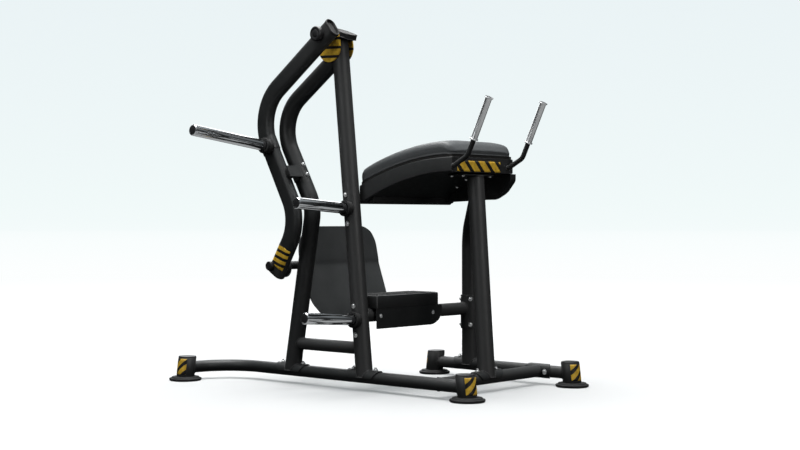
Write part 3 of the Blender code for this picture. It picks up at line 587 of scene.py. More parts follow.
def front_post_axis(up):
    return at(-0.5752 - 0.1016 * up, 0, up)


def left_rail(forward):
    return at(forward, FAR[1] + (forward - FAR[0]) / (RIGHT[0] - FAR[0]) * (RIGHT[1] - FAR[1]),
              RAIL_UP)


def tube(node, path, diameter, side=Z, top_plane=None):
    bm = bmesh.new()
    rings = sweep(bm, path, circle(diameter), side)
    if top_plane:
        along = (path[-1] - path[-2]).normalized()
        hit = plane_hit(*top_plane)
        for corner in rings[-1]:
            corner.co += along * hit(corner.co, along)
    return make(node + "_tube", bm, "root", "powder_coat", [node], 50)


roof_tilt = math.radians(20)
roof_along = Vector((math.cos(roof_tilt), 0, -math.sin(roof_tilt)))
roof_up = Vector((math.sin(roof_tilt), 0, math.cos(roof_tilt)))
roof = at(-0.702, 0, 1.5905)

rail_route = bent([at(*FRONT, RAIL_UP), at(-1.452, 0, RAIL_UP), at(*LEFT, RAIL_UP)], 0.21, 32)
tube("rail_right", rail_route, RAIL)
tube("rail_left", [at(*FAR, RAIL_UP), at(*RIGHT, RAIL_UP)], RAIL)
tube("rail_cross", [at(-0.16, 0, RAIL_UP), at(-0.16, RIGHT[1] - 0.01, RAIL_UP)], RAIL)
tube("front_post", [front_post_axis(RAIL_UP), front_post_axis(1.5)], POST, Y, (roof, roof_up))
rear_route = [at(forward, 0, up) for forward, up in
              ((-1.0357, RAIL_UP), (-0.899, 0.8146), (-1.127, 1.2205), (-0.728, 1.4992))]
rear_path = bent(rear_route, 0.18, 28)
tube("rear_post", rear_path, POST, Y)
rear_lean = (rear_route[1] - rear_route[0]).normalized()
brace_ends = (at(-1.012, 0, 0.186), front_post_axis(0.186))
tube("a_frame_brace", brace_ends, 0.055, Y)
column_foot, column_top = at(-0.16, 0.335, RAIL_UP), at(-0.238, 0.352, 0.9535)
tube("near_column", [column_foot, column_top], POST, Y, (at(0, 0, 0.9487), Z))
far_route = [at(-0.58, 0.74, RAIL_UP), at(-0.58, 0.74, 0.69), at(-0.42, 0.60, 0.868)]
far_side = (far_route[1] - far_route[0]).cross(far_route[2] - far_route[1]).normalized()
tube("far_column", bent(far_route, 0.15, 24), POST, far_side)
step_ends = (at(-0.605, 0, 0.33), at(-0.59, 0.735, 0.33))
tube("step_tube", step_ends, 0.06)

post_hit = cylinder_hit(front_post_axis(0), front_post_axis(1) - front_post_axis(0), POST / 2)
rear_hit = cylinder_hit(rear_route[0], rear_lean, POST / 2)
middle = (brace_ends[0] + brace_ends[1]) / 2
weld(bead, middle, X, 0.0275, post_hit)
weld(bead, middle, -X, 0.0275, rear_hit)
weld(bead, (step_ends[0] + step_ends[1]) / 2, step_ends[0] - step_ends[1], 0.03, post_hit)
weld(bead, rear_path[-2], rear_path[-1] - rear_path[-2], POST / 2, post_hit)
weld(bead, column_foot + Y * 0.6, -Y, RAIL / 2, cylinder_hit(at(0, 0, RAIL_UP), X, RAIL / 2))
weld(bead, column_foot + (column_top - column_foot) * 0.5, column_top - column_foot, POST / 2,
     plane_hit(at(0, 0, 0.9487), Z))


def saddle(node, centre, along, length=0.19, slant=0.05, facing=Z, spread=0.066):
    """A bent plate over a rail with slanted ends, and a bolt at each end."""
    across = facing.cross(along).normalized()
    turns = fan(33, -math.radians(96), math.radians(96))
    bm = bmesh.new()
    walls = {}
    for sign in (-1, 1):
        for radius in (RAIL / 2 + 0.0006, SADDLE_OUT):
            walls[sign, radius] = [bm.verts.new(
                centre + (across * math.sin(turn) + facing * math.cos(turn)) * radius
                + along * sign * (length / 2 - slant * (1 - math.cos(turn)) / 2))
                for turn in turns]
    inner, outer = RAIL / 2 + 0.0006, SADDLE_OUT
    pairs = (((-1, inner), (1, inner)), ((-1, outer), (1, outer)), ((-1, inner), (-1, outer)),
             ((1, inner), (1, outer)))
    for one, other in pairs:
        skin(bm, (walls[one], walls[other]))
    for index in (0, -1):
        bm.faces.new([walls[key][index] for key in ((-1, inner), (1, inner), (1, outer),
                                                    (-1, outer))])
    make(node + "_plate", bm, "root", "powder_coat", [node], 40, 0.0014, 2)
    for sign in (-1, 1):
        spot = centre + facing * (SADDLE_OUT - 0.0005) + along * sign * spread
        bolt(bolts, spot, facing, 0.0095)
        revolve(bolts, spot, facing, rounded([(0.005, 0.003), (0.005, 0.0135), (0.001, 0.0137)],
                                             0.001, 2, False), 20)


rail_run = (left_rail(0) - left_rail(-1)).normalized()
saddle("saddle_front_post", front_post_axis(RAIL_UP), X)
saddle("saddle_rear_post", at(-1.0327, 0, RAIL_UP), X)
saddle("saddle_near_column", column_foot, Y)
saddle("saddle_far_column", left_rail(-0.58), rail_run)
saddle("cross_rail_bracket", left_rail(-0.16), rail_run, 0.15, 0.04, -Y, 0.048)
near_rail_hit = cylinder_hit(at(0, 0, RAIL_UP), X, SADDLE_OUT)
weld(bead, front_post_axis(0.4), front_post_axis(0) - front_post_axis(1), POST / 2, near_rail_hit)
weld(bead, rear_route[0] + rear_lean * 0.3, -rear_lean, POST / 2, near_rail_hit)
weld(bead, (column_foot + column_top) / 2, column_foot - column_top, POST / 2,
     cylinder_hit(column_foot, Y, SADDLE_OUT))
weld(bead, far_route[0] + Z * 0.3, -Z, POST / 2, cylinder_hit(left_rail(0), rail_run, SADDLE_OUT))


def striped_patch(name, bm, origin, normal, pitch, share, body, thickness=0.0004):
    """A thin printed film, yellow where a point's run along normal falls in a stripe."""
    normal = normal.normalized()
    reaches = [(corner.co - origin).dot(normal) / pitch for corner in bm.verts]
    for turn in range(math.floor(min(reaches)), math.ceil(max(reaches)) + 1):
        for part in (0, share):
            cut(bm, origin + normal * pitch * (turn + part), normal)
    for face in bm.faces:
        run = (face.calc_center_median() - origin).dot(normal) / pitch
        face.material_index = 0 if run - math.floor(run) < share else 1
    made = make(name, bm, body, "hazard_paint", material=[FINISHES["hazard_paint"], FILM_BLACK])
    if thickness:
        depth = made.modifiers.new("film", "SOLIDIFY")
        depth.thickness, depth.offset = thickness, 0
    return made


def grid(bm, place, first, second):
    """A patch of quads: place(u, v) over two lists of values."""
    rows = [[bm.verts.new(place(u, v)) for u in first] for v in second]
    skin(bm, rows)


def foot(name, place, inward):
    """Rubber disc, leaning post with a pressed-in cap, and hazard film on the outward side."""
    inward = Vector((*inward, 0)).normalized()
    outward, sideways = -inward, Z.cross(-inward)
    disc = bmesh.new()
    profile = rounded([(0.050, 0), (0.071, 0), (0.075, 0.004), (0.075, 0.0115), (0.069, 0.0135),
                       (0.0665, 0.0125), (0.063, 0.0192), (0.046, 0.0199)], 0.0016, 3, False)
    revolve(disc, at(*place, 0), Z, profile, 72)
    make("foot_disc_" + name, disc, "root", "rubber", ["foot_pad_" + name])

    def centre(up):
        return at(*place, up) + inward * 0.012 * (up - 0.0203) / 0.0947

    def wall(turn, up, radius):
        return centre(up) + (outward * math.cos(turn) + sideways * math.sin(turn)) * radius

    post = bmesh.new()
    rings = [[post.verts.new(wall(2 * math.pi * step / 64, up, radius)) for step in range(64)]
             for up, radius in ((0.0203, 0.0415), (0.0208, 0.042), (0.1075, 0.042), (0.1082, 0.0413))]
    loft(post, rings)
    make("foot_post_shell_" + name, post, "root", "powder_coat", ["foot_post_" + name], 60)
    lid = bmesh.new()
    revolve(lid, centre(0.1076), Z, rounded([(0.03, 0), (0.0412, 0), (0.0412, 0.0062),
                                             (0.032, 0.0074), (0.012, 0.0074)], 0.0025, 4, False), 64)
    make("foot_cap_" + name, lid, "root", "plastic")
    patch = bmesh.new()
    grid(patch, lambda turn, up: wall(turn, up, 0.0423), fan(40, -1.0, 1.0), fan(12, 0.031, 0.103))
    striped_patch("foot_stripes_" + name, patch, at(*place, 0.018), Z - sideways, 0.0335, 0.56,
                  "root")


foot("front", FRONT, (-1, 0))
foot("right", RIGHT, (-1, 0))
foot("left", LEFT, (-TAIL.x, -TAIL.y))
foot("far", FAR, (1, 0))
for place, run in ((FRONT, X), (LEFT, TAIL), (RIGHT, rail_run), (FAR, -rail_run)):
    run = run.normalized()
    weld(bead, at(*place, RAIL_UP) - run * 0.12, run, RAIL / 2,
         cylinder_hit(at(*place, 0) - run * 0.005, Z, 0.042))

# ---------------------------------------------------------------- apex


def plate(name, outline, push, body, nodes=(), bevel=0.0016, slot="powder_coat"):
    bm = bmesh.new()
    prism(bm, outline, push)
    return make(name, bm, body, slot, nodes, 32, bevel, 3)


def hull_of_circles(circles, steps=40):
    """The rounded outline round (forward, up, radius) discs, in order."""
    points = []
    for forward, up, radius in circles:
        points += [(forward + radius * math.cos(2 * math.pi * step / steps),
                    up + radius * math.sin(2 * math.pi * step / steps)) for step in range(steps)]
    points = sorted(set(points))

    def chain(ordered):
        line = []
        for point in ordered:
            while len(line) > 1 and ((line[-1][0] - line[-2][0]) * (point[1] - line[-2][1])
                                     <= (line[-1][1] - line[-2][1]) * (point[0] - line[-2][0])):
                line.pop()
            line.append(point)
        return line[:-1]
    return chain(points) + chain(points[::-1])


PIVOT = (-0.738, 1.576)
CHEEK_IN, CHEEK_WALL = POST / 2 + 0.0003, 0.006
CHEEK_OUT = CHEEK_IN + CHEEK_WALL + 0.003
BAND_PITCH, BAND_YELLOW = 0.0405, 0.0285
HOOD_LONG, HOOD_WIDE, HOOD_LOW, HOOD_TOP = 0.1235, 0.0825, -0.017, 0.0045
cheek_outline = hull_of_circles([(-0.757, 1.527, 0.0675), (*PIVOT, 0.0415)])
for node, left in (("pivot_cheek_right", -CHEEK_IN - CHEEK_WALL), ("pivot_cheek_left", CHEEK_IN)):
    bm = bmesh.new()
    prism(bm, [at(forward, left, up) for forward, up in cheek_outline], Y * CHEEK_WALL)
    cut(bm, roof - roof_up * 0.0004, roof_up, clear_outer=True)
    bmesh.ops.holes_fill(bm, edges=[edge for edge in bm.edges if edge.is_boundary])
    bands = Vector((math.sin(math.radians(3)), 0, math.cos(math.radians(3))))
    band_foot = at(-0.75, 0, 1.4900)
    for step in range(-3, 4):
        for part in (0, BAND_YELLOW):
            cut(bm, band_foot + bands * (BAND_PITCH * step + part), bands)
    for face in bm.faces:
        run = (face.calc_center_median() - band_foot).dot(bands) / BAND_PITCH
        face.material_index = 0 if run - math.floor(run) < BAND_YELLOW / BAND_PITCH else 1
    make(node + "_plate", bm, "root", "hazard_paint", [node], 60,
         material=[FINISHES["hazard_paint"], FILM_BLACK])


plate("apex_hood", [roof + roof_along * along + Y * across + roof_up * HOOD_LOW
                    for along, across in oval(HOOD_LONG, HOOD_WIDE)],
      roof_up * (HOOD_TOP - HOOD_LOW),
      "root", ["apex_cap"], 0.0015, "rubber")
for name, lift, size in (("lower", HOOD_LOW, 0.0021), ("upper", 0.0040, 0.0014)):
    rim = bmesh.new()
    rings = []
    for along, across in oval(HOOD_LONG, HOOD_WIDE):
        centre = roof + roof_along * along + Y * across + roof_up * lift
        away = (centre - roof - roof_up * lift).normalized()
        rings.append([rim.verts.new(centre + (away * math.cos(turn) + roof_up * math.sin(turn))
                                    * size) for turn in fan(9, 0, 2 * math.pi)[:-1]])
    for first, second in zip(rings, rings[1:] + rings[:1]):
        bridge(rim, first, second)
    # The rims take the lighter coat: a painted highlight along the hood's edges.
    make("apex_hood_rim_" + name, rim, "root", "powder_coat", (), 60,
         material=PAINTED_LIGHT_COAT)

# ---------------------------------------------------------------- swing arm

arm_route = [at(forward, ARM_LEFT, up) for forward, up in
             ((-0.688, 1.5985), (-1.170, 1.2535), (-0.895, 0.7473), (-1.0366, 0.5127))]
bm = bmesh.new()
arm_path = bent(arm_route, 0.2, 28)
sweep(bm, arm_path, oval(ARM_WIDTH, ARM_THICK), Y)
make("swing_arm_tube", bm, "arm", "powder_coat", ["swing_arm"], 50)
bead_arm = bmesh.new()
bolts_arm = bmesh.new()
pivot = at(PIVOT[0], 0, PIVOT[1])
hub = bmesh.new()
hub_near = -CHEEK_OUT - 0.001
revolve(hub, at(PIVOT[0], hub_near, PIVOT[1]), -Y,
        rounded([(0.0155, 0), (0.028, 0), (0.028, 0.133 + hub_near), (0.0155, 0.133 + hub_near)],
                0.0022, 3, False), 64)
make("pivot_hub_turned", hub, "arm", "powder_coat", ["pivot_hub"])


def dome(name, place, axis, radius, height, body, nodes, slot="plastic"):
    """A moulded end cap with a rounded shoulder and a shallow ring on its face."""
    bm = bmesh.new()
    profile = rounded([(radius * 0.55, 0), (radius, 0), (radius, height), (radius * 0.6, height)],
                      [0, radius * 0.06, height * 0.75, 0], 8, False)
    profile += [(radius * 0.56, height - 0.0008), (radius * 0.52, height),
                (radius * 0.15, height * 1.0)]
    revolve(bm, place, axis, profile, 64)
    return make(name, bm, body, slot, nodes, 40)


def end_plug(name, place, along, nodes, profile):
    """The pressed-in plug that closes an end of the flat oval arm."""
    bm = bmesh.new()
    across = along.cross(Y).normalized()
    rings = []
    for grow, lift in profile:
        rings.append([bm.verts.new(place + along * lift + across * u + along.cross(across) * v)
                      for u, v in oval(ARM_WIDTH + 2 * grow, ARM_THICK + 2 * grow)])
    loft(bm, rings)
    return make(name, bm, "arm", "rubber", nodes, 60)


end_plug("arm_plug_top", arm_route[0], (arm_route[0] - arm_route[1]).normalized(),
         ["arm_top_cap"], ((0, 0), (0.0012, 0.0004), (0.0014, 0.0095), (0, 0.0115),
                           (-0.0025, 0.0118), (-0.004, 0.0100), (-0.0055, 0.0010)))
end_plug("arm_plug_foot", arm_route[3], (arm_route[3] - arm_route[2]).normalized(),
         ["arm_foot_cap"], ((0, 0), (0.0012, 0.0004), (0.0014, 0.0035), (0, 0.0075),
                            (-0.004, 0.0105), (-0.010, 0.012)))

# ---------------------------------------------------------------- plate horns


def horn(name, root, axis, length, body, node, collar_node, collar_radius, collar_length):
    """A chromed peg with a rubber collar, a chamfered end and a black end plug."""
    bm = bmesh.new()
    revolve(bm, root, axis, [(0.0245, 0), (0.025, 0.001), (0.025, length - 0.004),
                             (0.0225, length - 0.0004), (0.0195, length - 0.0002),
                             (0.0192, length - 0.002), (0.0188, length - 0.010)], 72)
    make(name + "_chrome", bm, body, "chrome", [node], 30)
    plug = bmesh.new()
    revolve(plug, root + axis * (length - 0.009), axis,
            rounded([(0.0187, 0), (0.0187, 0.0076), (0.012, 0.0084), (0.003, 0.0086)], 0.0012, 3,
                    False), 48)
    make(name + "_plug", plug, body, "plastic")
    ring = bmesh.new()
    long, slim = collar_length[1], collar_radius - 0.004
    revolve(ring, root + axis * collar_length[0], axis,
            rounded([(0.0256, 0), (collar_radius, 0), (collar_radius, long * 0.45),
                     (slim, long * 0.55), (slim, long * 0.72), (collar_radius, long * 0.8),
                     (collar_radius, long), (0.0256, long), (0.0256, 0)], 0.0025, 4, False), 64)
    make(name + "_collar", ring, body, "rubber", [collar_node])


for name, up in (("lower", 0.311), ("upper", 0.802)):
    tilt = math.radians(4)
    axis = Vector((0, -math.cos(tilt), math.sin(tilt)))
    centre = front_post_axis(up)
    start = centre + axis * 0.0375
    horn("storage_" + name, start, axis, 0.35 - 0.0375, "root", "storage_horn_" + name,
         "storage_collar_" + name, 0.0358, (-0.012, 0.0290))
    for offset in (-0.064, 0.064):
        spot = front_post_axis(up + offset)
        bolt(bolts, spot - Y * POST / 2, -Y, 0.0085)
        bolt(bolts, spot + Y * POST / 2, Y, 0.0075)
tilt = math.radians(7)
arm_face = ARM_LEFT - ARM_THICK / 2 - 0.0003
horn("arm", at(-1.064, arm_face, 1.089), Vector((0, -math.cos(tilt), math.sin(tilt))), 0.455,
     "arm", "arm_horn", "arm_horn_collar", 0.0358, (0.0, 0.0350))
dome("pivot_cap_dome", at(PIVOT[0], -0.1335, PIVOT[1]), -Y, 0.033, 0.021, "arm", ["pivot_cap"])
FOOT = (-1.0455, 0.544)
dome("foot_shaft_knob", at(FOOT[0], arm_face - 0.0002, FOOT[1]), -Y, 0.021, 0.0195, "arm",
     ["foot_shaft_cap"])

strap_run = Vector((0.4775, 0, -0.8786))
strap = bmesh.new()
strap_centre = at(-1.0855, ARM_LEFT, 1.098) + strap_run * 0.005
strap_across = strap_run.cross(Y).normalized()
rings = []
for grow, along in ((0.0002, -0.032), (0.0026, -0.032), (0.0026, 0.032), (0.0002, 0.032)):
    rings.append([strap.verts.new(strap_centre + strap_run * along + strap_across * u + Y * v)
                  for u, v in oval(ARM_WIDTH + 2 * grow, ARM_THICK + 2 * grow)])
for first, second in zip(rings, rings[1:]):
    bridge(strap, first, second)
bridge(strap, rings[-1], rings[0])
make("arm_strap", strap, "arm", "powder_coat", (), 40, 0.0008, 2)


def arm_film(turn, along, grow=0.0003):
    """A point on the arm's lower straight run; turn goes round from its front edge."""
    half = (ARM_WIDTH - ARM_THICK) / 2
    radius = ARM_THICK / 2 + grow
    foot_run = (arm_route[3] - arm_route[2]).normalized()
    across = -foot_run.cross(Y).normalized()
    if across.x < 0:
        across = -across
    if turn < -half:
        bend = (-half - turn) / radius
        local = (-half - radius * math.sin(bend), -radius * math.cos(bend))
    elif turn > half:
        bend = (turn - half) / radius
        local = (half + radius * math.sin(bend), -radius * math.cos(bend))
    else:
        local = (turn, -radius)
    return arm_route[3] - foot_run * along + across * local[0] + Y * local[1]


patch = bmesh.new()
grid(patch, lambda turn, along: arm_film(turn, along), fan(40, -0.040, 0.044),
     fan(20, 0.034, 0.137))
bar_across = Vector((0.347, 0, 0.938))
striped_patch("arm_stripes", patch, at(-0.966, ARM_LEFT, 0.620) - bar_across * 0.0085, bar_across,
              0.0306, 0.56, "arm")

# ---------------------------------------------------------------- bump stop

down, forward_stop = Vector((0.477, 0, -0.879)), Vector((0.879, 0, 0.477))
rest = at(-1.0, ARM_LEFT, 0.942) + forward_stop * (ARM_WIDTH / 2 + 0.0006)
plate("bump_stop_block", [rest + down * u + Y * v for u, v in oval(0.056, 0.036, 14)],
      forward_stop * 0.0195, "root", ["bump_stop"], 0.004, "rubber")
beside = -POST / 2 - 0.0006 - ARM_LEFT
stop_outline = rounded([(0.0198, -0.02), (0.0258, -0.02), (0.0258, beside), (-0.035, beside),
                        (-0.035, beside - 0.006), (0.0198, beside - 0.006)],
                       [0.001, 0.001, 0.006, 0.001, 0.001, 0.003])
plate("stop_bracket_plate", [rest - down * 0.028 + forward_stop * u + Y * v
                             for u, v in stop_outline], down * 0.056, "root", ["stop_bracket"],
      0.0012)
for up in (0.990, 0.944):
    rear_run = (rear_route[2] - rear_route[1]).normalized()
    front_of = rear_run.cross(Y).normalized()
    front_of = front_of if front_of.x > 0 else -front_of
    centre = rear_route[1] + rear_run * ((up - rear_route[1].z) / rear_run.z)
    bolt(bolts, centre + front_of * POST / 2, front_of, 0.0085)


# ---------------------------------------------------------------- shafts

zinc = bmesh.new()
revolve(zinc, at(PIVOT[0], CHEEK_OUT, PIVOT[1]), Y, rounded(
    [(0.0153, 0), (0.028, 0), (0.028, 0.003), (0.0153, 0.003), (0.0153, 0)], 0.0006, 2, False), 64)
make("pivot_washer_turned", zinc, "root", "zinc", ["pivot_washer"])
zinc = bmesh.new()
revolve(zinc, at(FOOT[0], 0.52, FOOT[1]), -Y, rounded(
    [(0.0005, 0), (0.012, 0), (0.012, 0.645), (0.0005, 0.645)], 0.0016, 3, False), 48)
make("foot_shaft_bar", zinc, "arm", "zinc", ["foot_shaft"])
lobe = bmesh.new()
revolve(lobe, at(-1.040, -0.0735, 0.530), Y, rounded(
    [(0.010, 0), (0.040, 0), (0.040, 0.034), (0.010, 0.034)], 0.004, 4, False), 56)
make("foot_sleeve_boss", lobe, "foot_plate_body", "plastic")
for node, start, axis, long, inner, outer, body in (
        ("pivot_housing", -CHEEK_OUT, Y, 2 * CHEEK_OUT, 0.0153, 0.023, "root"),
        ("foot_sleeve", -0.074, Y, 0.589, 0.0123, 0.019, "foot_plate_body")):
    bm = bmesh.new()
    place = PIVOT if node == "pivot_housing" else FOOT
    revolve(bm, at(place[0], start, place[1]), axis, rounded(
        [(inner, 0), (outer, 0), (outer, long), (inner, long), (inner, 0)], 0.0012, 2, False), 56)
    make(node + "_turned", bm, body, "zinc" if node == "pivot_housing" else "powder_coat", [node])

# ---------------------------------------------------------------- kick plate

PLATE_WALL, PLATE_BEND, PLATE_FACE = 0.005, 0.553, FOOT[0] + 0.0235
UPPER_LINE = [(0.035, PLATE_BEND), (0.035, 0.610), (0.050, 0.660), (0.085, 0.700), (0.130, 0.724),
              (0.495, 0.724), (0.545, 0.698), (0.570, 0.648), (0.575, PLATE_BEND)]
LOWER_LINE = [(0.575, PLATE_BEND), (0.575, 0.393), (0.550, 0.333), (0.500, 0.310), (0.100, 0.310),
              (0.052, 0.370), (0.042, 0.460), (0.035, PLATE_BEND)]


def plate_forward(up):
    """The sheet's front face: two leaning planes with a rounded bend between them."""
    back, ahead = math.tan(math.radians(10)), math.tan(math.radians(20))
    gap = up - PLATE_BEND
    soft = math.sqrt(gap * gap + 0.009 ** 2) - 0.009
    return PLATE_FACE + (-back * soft if gap > 0 else ahead * soft)


def plate_span(up):
    """The sheet's left and right edges at this height."""
    line = rounded(UPPER_LINE[:-1] + LOWER_LINE[:-1], 0.022, 8)
    cuts = []
    for (left, low), (other, high) in zip(line, line[1:] + line[:1]):
        if (low - up) * (high - up) <= 0 and low != high:
            cuts.append(left + (up - low) / (high - low) * (other - left))
    return min(cuts), max(cuts)


bm = bmesh.new()
shares = fan(33, 0, 1)
sheets = []
ups = [0.31005 + 0.41390 * (1 - math.cos(math.pi * share)) / 2 for share in fan(72, 0, 1)]
for depth in (0, -PLATE_WALL):
    rows = []
    for up in ups:
        near, far = plate_span(up)
        rows.append([bm.verts.new(at(plate_forward(up) + depth, near + (far - near) * share, up))
                     for share in shares])
    sheets.append(rows)
    skin(bm, rows)
bridge(bm, *map(edge_loop, sheets))
# The sheet takes the lighter coat: painted light standing in for the light its faces catch.
make("kick_plate_sheet", bm, "foot_plate_body", "powder_coat", ["foot_plate"], 50, 0.0012, 3,
     PAINTED_LIGHT_COAT)

# ---------------------------------------------------------------- step

tread_plan = ((-0.745, 0.08), (-0.715, 0.05), (-0.555, 0.05), (-0.552, 0.053), (-0.552, 0.47),
              (-0.582, 0.50), (-0.715, 0.50), (-0.745, 0.47))
tread = bmesh.new()
plan = rounded(tread_plan, 0.006, 4)
middle = Vector((-0.6485, 0.275))


def tread_ring(inset, up):
    ring = []
    for point in plan:
        inward = (middle - Vector(point))
        scale = Vector((1 - inset / 0.0965, 1 - inset / 0.225))
        spot = middle - Vector((inward.x * scale.x, inward.y * scale.y))
        ring.append(tread.verts.new(at(spot.x, spot.y, up)))
    return ring


rings = [tread_ring(inset, up) for inset, up in (
    (0.004, 0.378), (0.004, 0.3613), (0.0008, 0.3613), (0, 0.3625), (0, 0.4130), (0.0012, 0.4160),
    (0.0035, 0.4172), (0.009, 0.4176), (0.0100, 0.4172), (0.0115, 0.4160))]
for first, second in zip(rings, rings[1:]):
    bridge(tread, first, second)
tread.faces.new(rings[-1])
inner = tread_ring(0.004, 0.412)
bridge(tread, rings[0], inner)
tread.faces.new(inner)
make("step_tread_box", tread, "root", "powder_coat", ["step_tread"], 35, 0, 3)
ribs = bmesh.new()
for step in range(13):
    forward = -0.727 + 0.0132 * step
    ends = (0.068, 0.482)
    if forward < -0.717 or forward > -0.580:
        ends = (0.088 if forward < -0.717 else 0.068, 0.462)
    outline = [(-0.0036, 0.4158), (0.0036, 0.4158), (0.0030, 0.4180), (0.0018, 0.4189),
               (-0.0018, 0.4189), (-0.0030, 0.4180)]
    prism(ribs, [at(forward + run, ends[0], up) for run, up in outline],
          Y * (ends[1] - ends[0]))
make("step_tread_ribs", ribs, "root", "rubber", (), 60, 0)
face_line = rounded([(0.05, 0.27), (0.44, 0.27), (0.485, 0.293), (0.5, 0.338), (0.5, 0.3605),
                     (0.05, 0.3605)], [0.006, 0.02, 0.014, 0.02, 0.003, 0.003], 8)
plate("step_face_sheet", [at(-0.558, left, up) for left, up in face_line], X * 0.004, "root",
      ["step_face_plate"], 0.0012)
for left in (0.077, 0.434):
    bolt(bolts, at(-0.554, left, 0.328), X, 0.0075)
wrap = bmesh.new()
turns = fan(33, math.radians(-160), math.radians(-20))
corners = {}
for radius in (POST / 2 + 0.0006, POST / 2 + 0.006):
    for up in (0.235, 0.395):
        corners[radius, up] = [wrap.verts.new(at(-0.58 + radius * math.cos(turn),
                                                 0.74 + radius * math.sin(turn), up))
                               for turn in turns]
inner, outer = POST / 2 + 0.0006, POST / 2 + 0.006
for one, other in (((inner, 0.235), (inner, 0.395)), ((outer, 0.235), (outer, 0.395)),
                   ((inner, 0.235), (outer, 0.235)), ((inner, 0.395), (outer, 0.395))):
    skin(wrap, (corners[one], corners[other]))
for index in (0, -1):
    wrap.faces.new([corners[key][index] for key in ((inner, 0.235), (inner, 0.395),
                                                    (outer, 0.395), (outer, 0.235))])
make("step_flange_wrap", wrap, "root", "powder_coat", ["step_flange"], 40, 0.0014, 2)
for up in (0.376, 0.254):
    for turn in (math.radians(-132), math.radians(-48)):
        out = Vector((math.cos(turn), math.sin(turn), 0))
        bolt(bolts, at(-0.58, 0.74, up) + out * (POST / 2 + 0.006), out, 0.0075)
weld(bead, (step_ends[0] + step_ends[1]) / 2, step_ends[1] - step_ends[0], 0.03,
     cylinder_hit(at(-0.58, 0.74, 0), Z, POST / 2 + 0.006))

# ---------------------------------------------------------------- pad frame and supports

PAD_MIDDLE, PAD_FRONT, PAD_HIP, PAN_BACK = 0.36, -0.2, -0.65, -0.5066
CUSHION_UP = 0.0123
CLOTH_FRAMES, SMOOTHING_PASSES, MOST_CREASE = 24, 14, 0.004


def pad_half(forward):
    return 0.2175 + (forward - PAD_FRONT) / (PAD_HIP - PAD_FRONT) * 0.102


def pad_low(forward):
    return 0.9625 - 0.68 * (forward - PAD_FRONT) ** 2


def pad_high(forward):
    return 1.028 - 0.593 * (forward - PAD_FRONT) ** 2


def pad_shell():
    """The folded sheet under the pad: walls with rounded corners, a top and a front pan."""
    bm = bmesh.new()
    stations = fan(50, PAD_HIP, PAD_FRONT)
    outer, inner = [], []
    for forward in stations:
        half, low, high = pad_half(forward), pad_low(forward), pad_high(forward)
        corner = min(0.006, (high - low) / 4)
        ring = rounded([(-half, low), (half, low), (half, high), (-half, high)], corner, 5)
        outer.append([bm.verts.new(at(forward, PAD_MIDDLE + left, up)) for left, up in ring])
    for first, second in zip(outer, outer[1:]):
        bridge(bm, first, second)
    bm.faces.new(outer[-1])
    inner_stations = [forward for forward in stations if forward < PAN_BACK]
    for forward in inner_stations:
        half, low, high = pad_half(forward) - 0.004, pad_low(forward) + 0.004, pad_high(forward)
        ring = rounded([(-half, low), (half, low), (half, high - 0.004), (-half, high - 0.004)],
                       0.003, 5)
        inner.append([bm.verts.new(at(forward, PAD_MIDDLE + left, up)) for left, up in ring])
    for first, second in zip(inner, inner[1:]):
        bridge(bm, first, second)
    bm.faces.new(inner[-1])
    bridge(bm, outer[0], inner[0])
    return bm


make("pad_frame_shell", pad_shell(), "root", "powder_coat", ["pad_frame"], 40, 0.0010, 2)


def pad_layer(bm, ends, low, high, half, corner, steps=44):
    """A solid slab that follows the pad; low, high and half are functions of forward."""
    rings = []
    for forward in fan(steps, *ends):
        rings.append([bm.verts.new(at(forward, PAD_MIDDLE + left, up)) for left, up in rounded(
            [(-half(forward), low(forward)), (half(forward), low(forward)),
             (half(forward), high(forward)), (-half(forward), high(forward))], corner, 4)])
    loft(bm, rings)


layer = bmesh.new()
pad_layer(layer, (PAD_HIP + 0.006, PAD_FRONT - 0.006), lambda x: pad_high(x) + 0.0003,
          lambda x: pad_high(x) + 0.012, lambda x: pad_half(x) - 0.006, 0.0012)
make("pad_board_sheet", layer, "root", "board", ["pad_board"], 50)
beam_low = pad_low(PAD_HIP) + 0.008
plate("pad_hip_tube", [at(-0.635 + run, 0.075, beam_low + rise) for run, rise in rounded(
    [(0, 0), (0.04, 0), (0.04, 0.04), (0, 0.04)], 0.006, 5)], Y * 0.56, "root", ["pad_hip_beam"],
      0.0012)
plate("near_flange_plate", [at(forward, left, 0.9488) for forward, left in rounded(
    [(-0.30, 0.23), (-0.205, 0.23), (-0.205, 0.45), (-0.30, 0.45)], 0.012)], Z * 0.006, "root",
      ["near_column_flange"])
support = [(-0.575, 0.838), (-0.36, 0.8465), (-0.307, 0.8465), (-0.248, 0.877), (-0.203, 0.930),
           (-0.203, 0.9620), (-0.24, 0.9610), (-0.34, 0.9490), (-0.45, 0.9195), (-0.575, 0.8630)]
plate("pad_far_side_plate", [at(forward, 0.565, up) for forward, up in
                             rounded(support, [0, 0.02, 0.02, 0.02, 0.01] + [0] * 5)],
      Y * 0.04, "root", ["pad_far_support"], 0.0014)
for forward, left in ((-0.285, 0.245), (-0.22, 0.245), (-0.285, 0.435), (-0.22, 0.435)):
    bolt(bolts, at(forward, left, 0.9488), -Z, 0.0065)
for forward, left, up in ((-0.381, 0.464, 0.936), (-0.385, 0.640, 0.935), (-0.482, 0.523, 0.904)):
    slope = Vector((-1.36 * (forward - PAD_FRONT), 0, -1)).normalized()
    bolt(bolts, at(forward, left, pad_low(forward)), Vector((-slope.x, 0, -1)).normalized(), 0.0075)
stripes = bmesh.new()
grid(stripes, lambda left, up: at(PAD_FRONT + 0.0003, left, up), fan(30, 0.179, 0.484),
     fan(8, 0.9655, 1.0130))
bar_normal = Y + Z
striped_patch("pad_stripes", stripes, at(PAD_FRONT, 0.181, 1.0113), bar_normal, 0.0726 / 2 ** 0.5,
              0.62, "root")

# ---------------------------------------------------------------- cushion


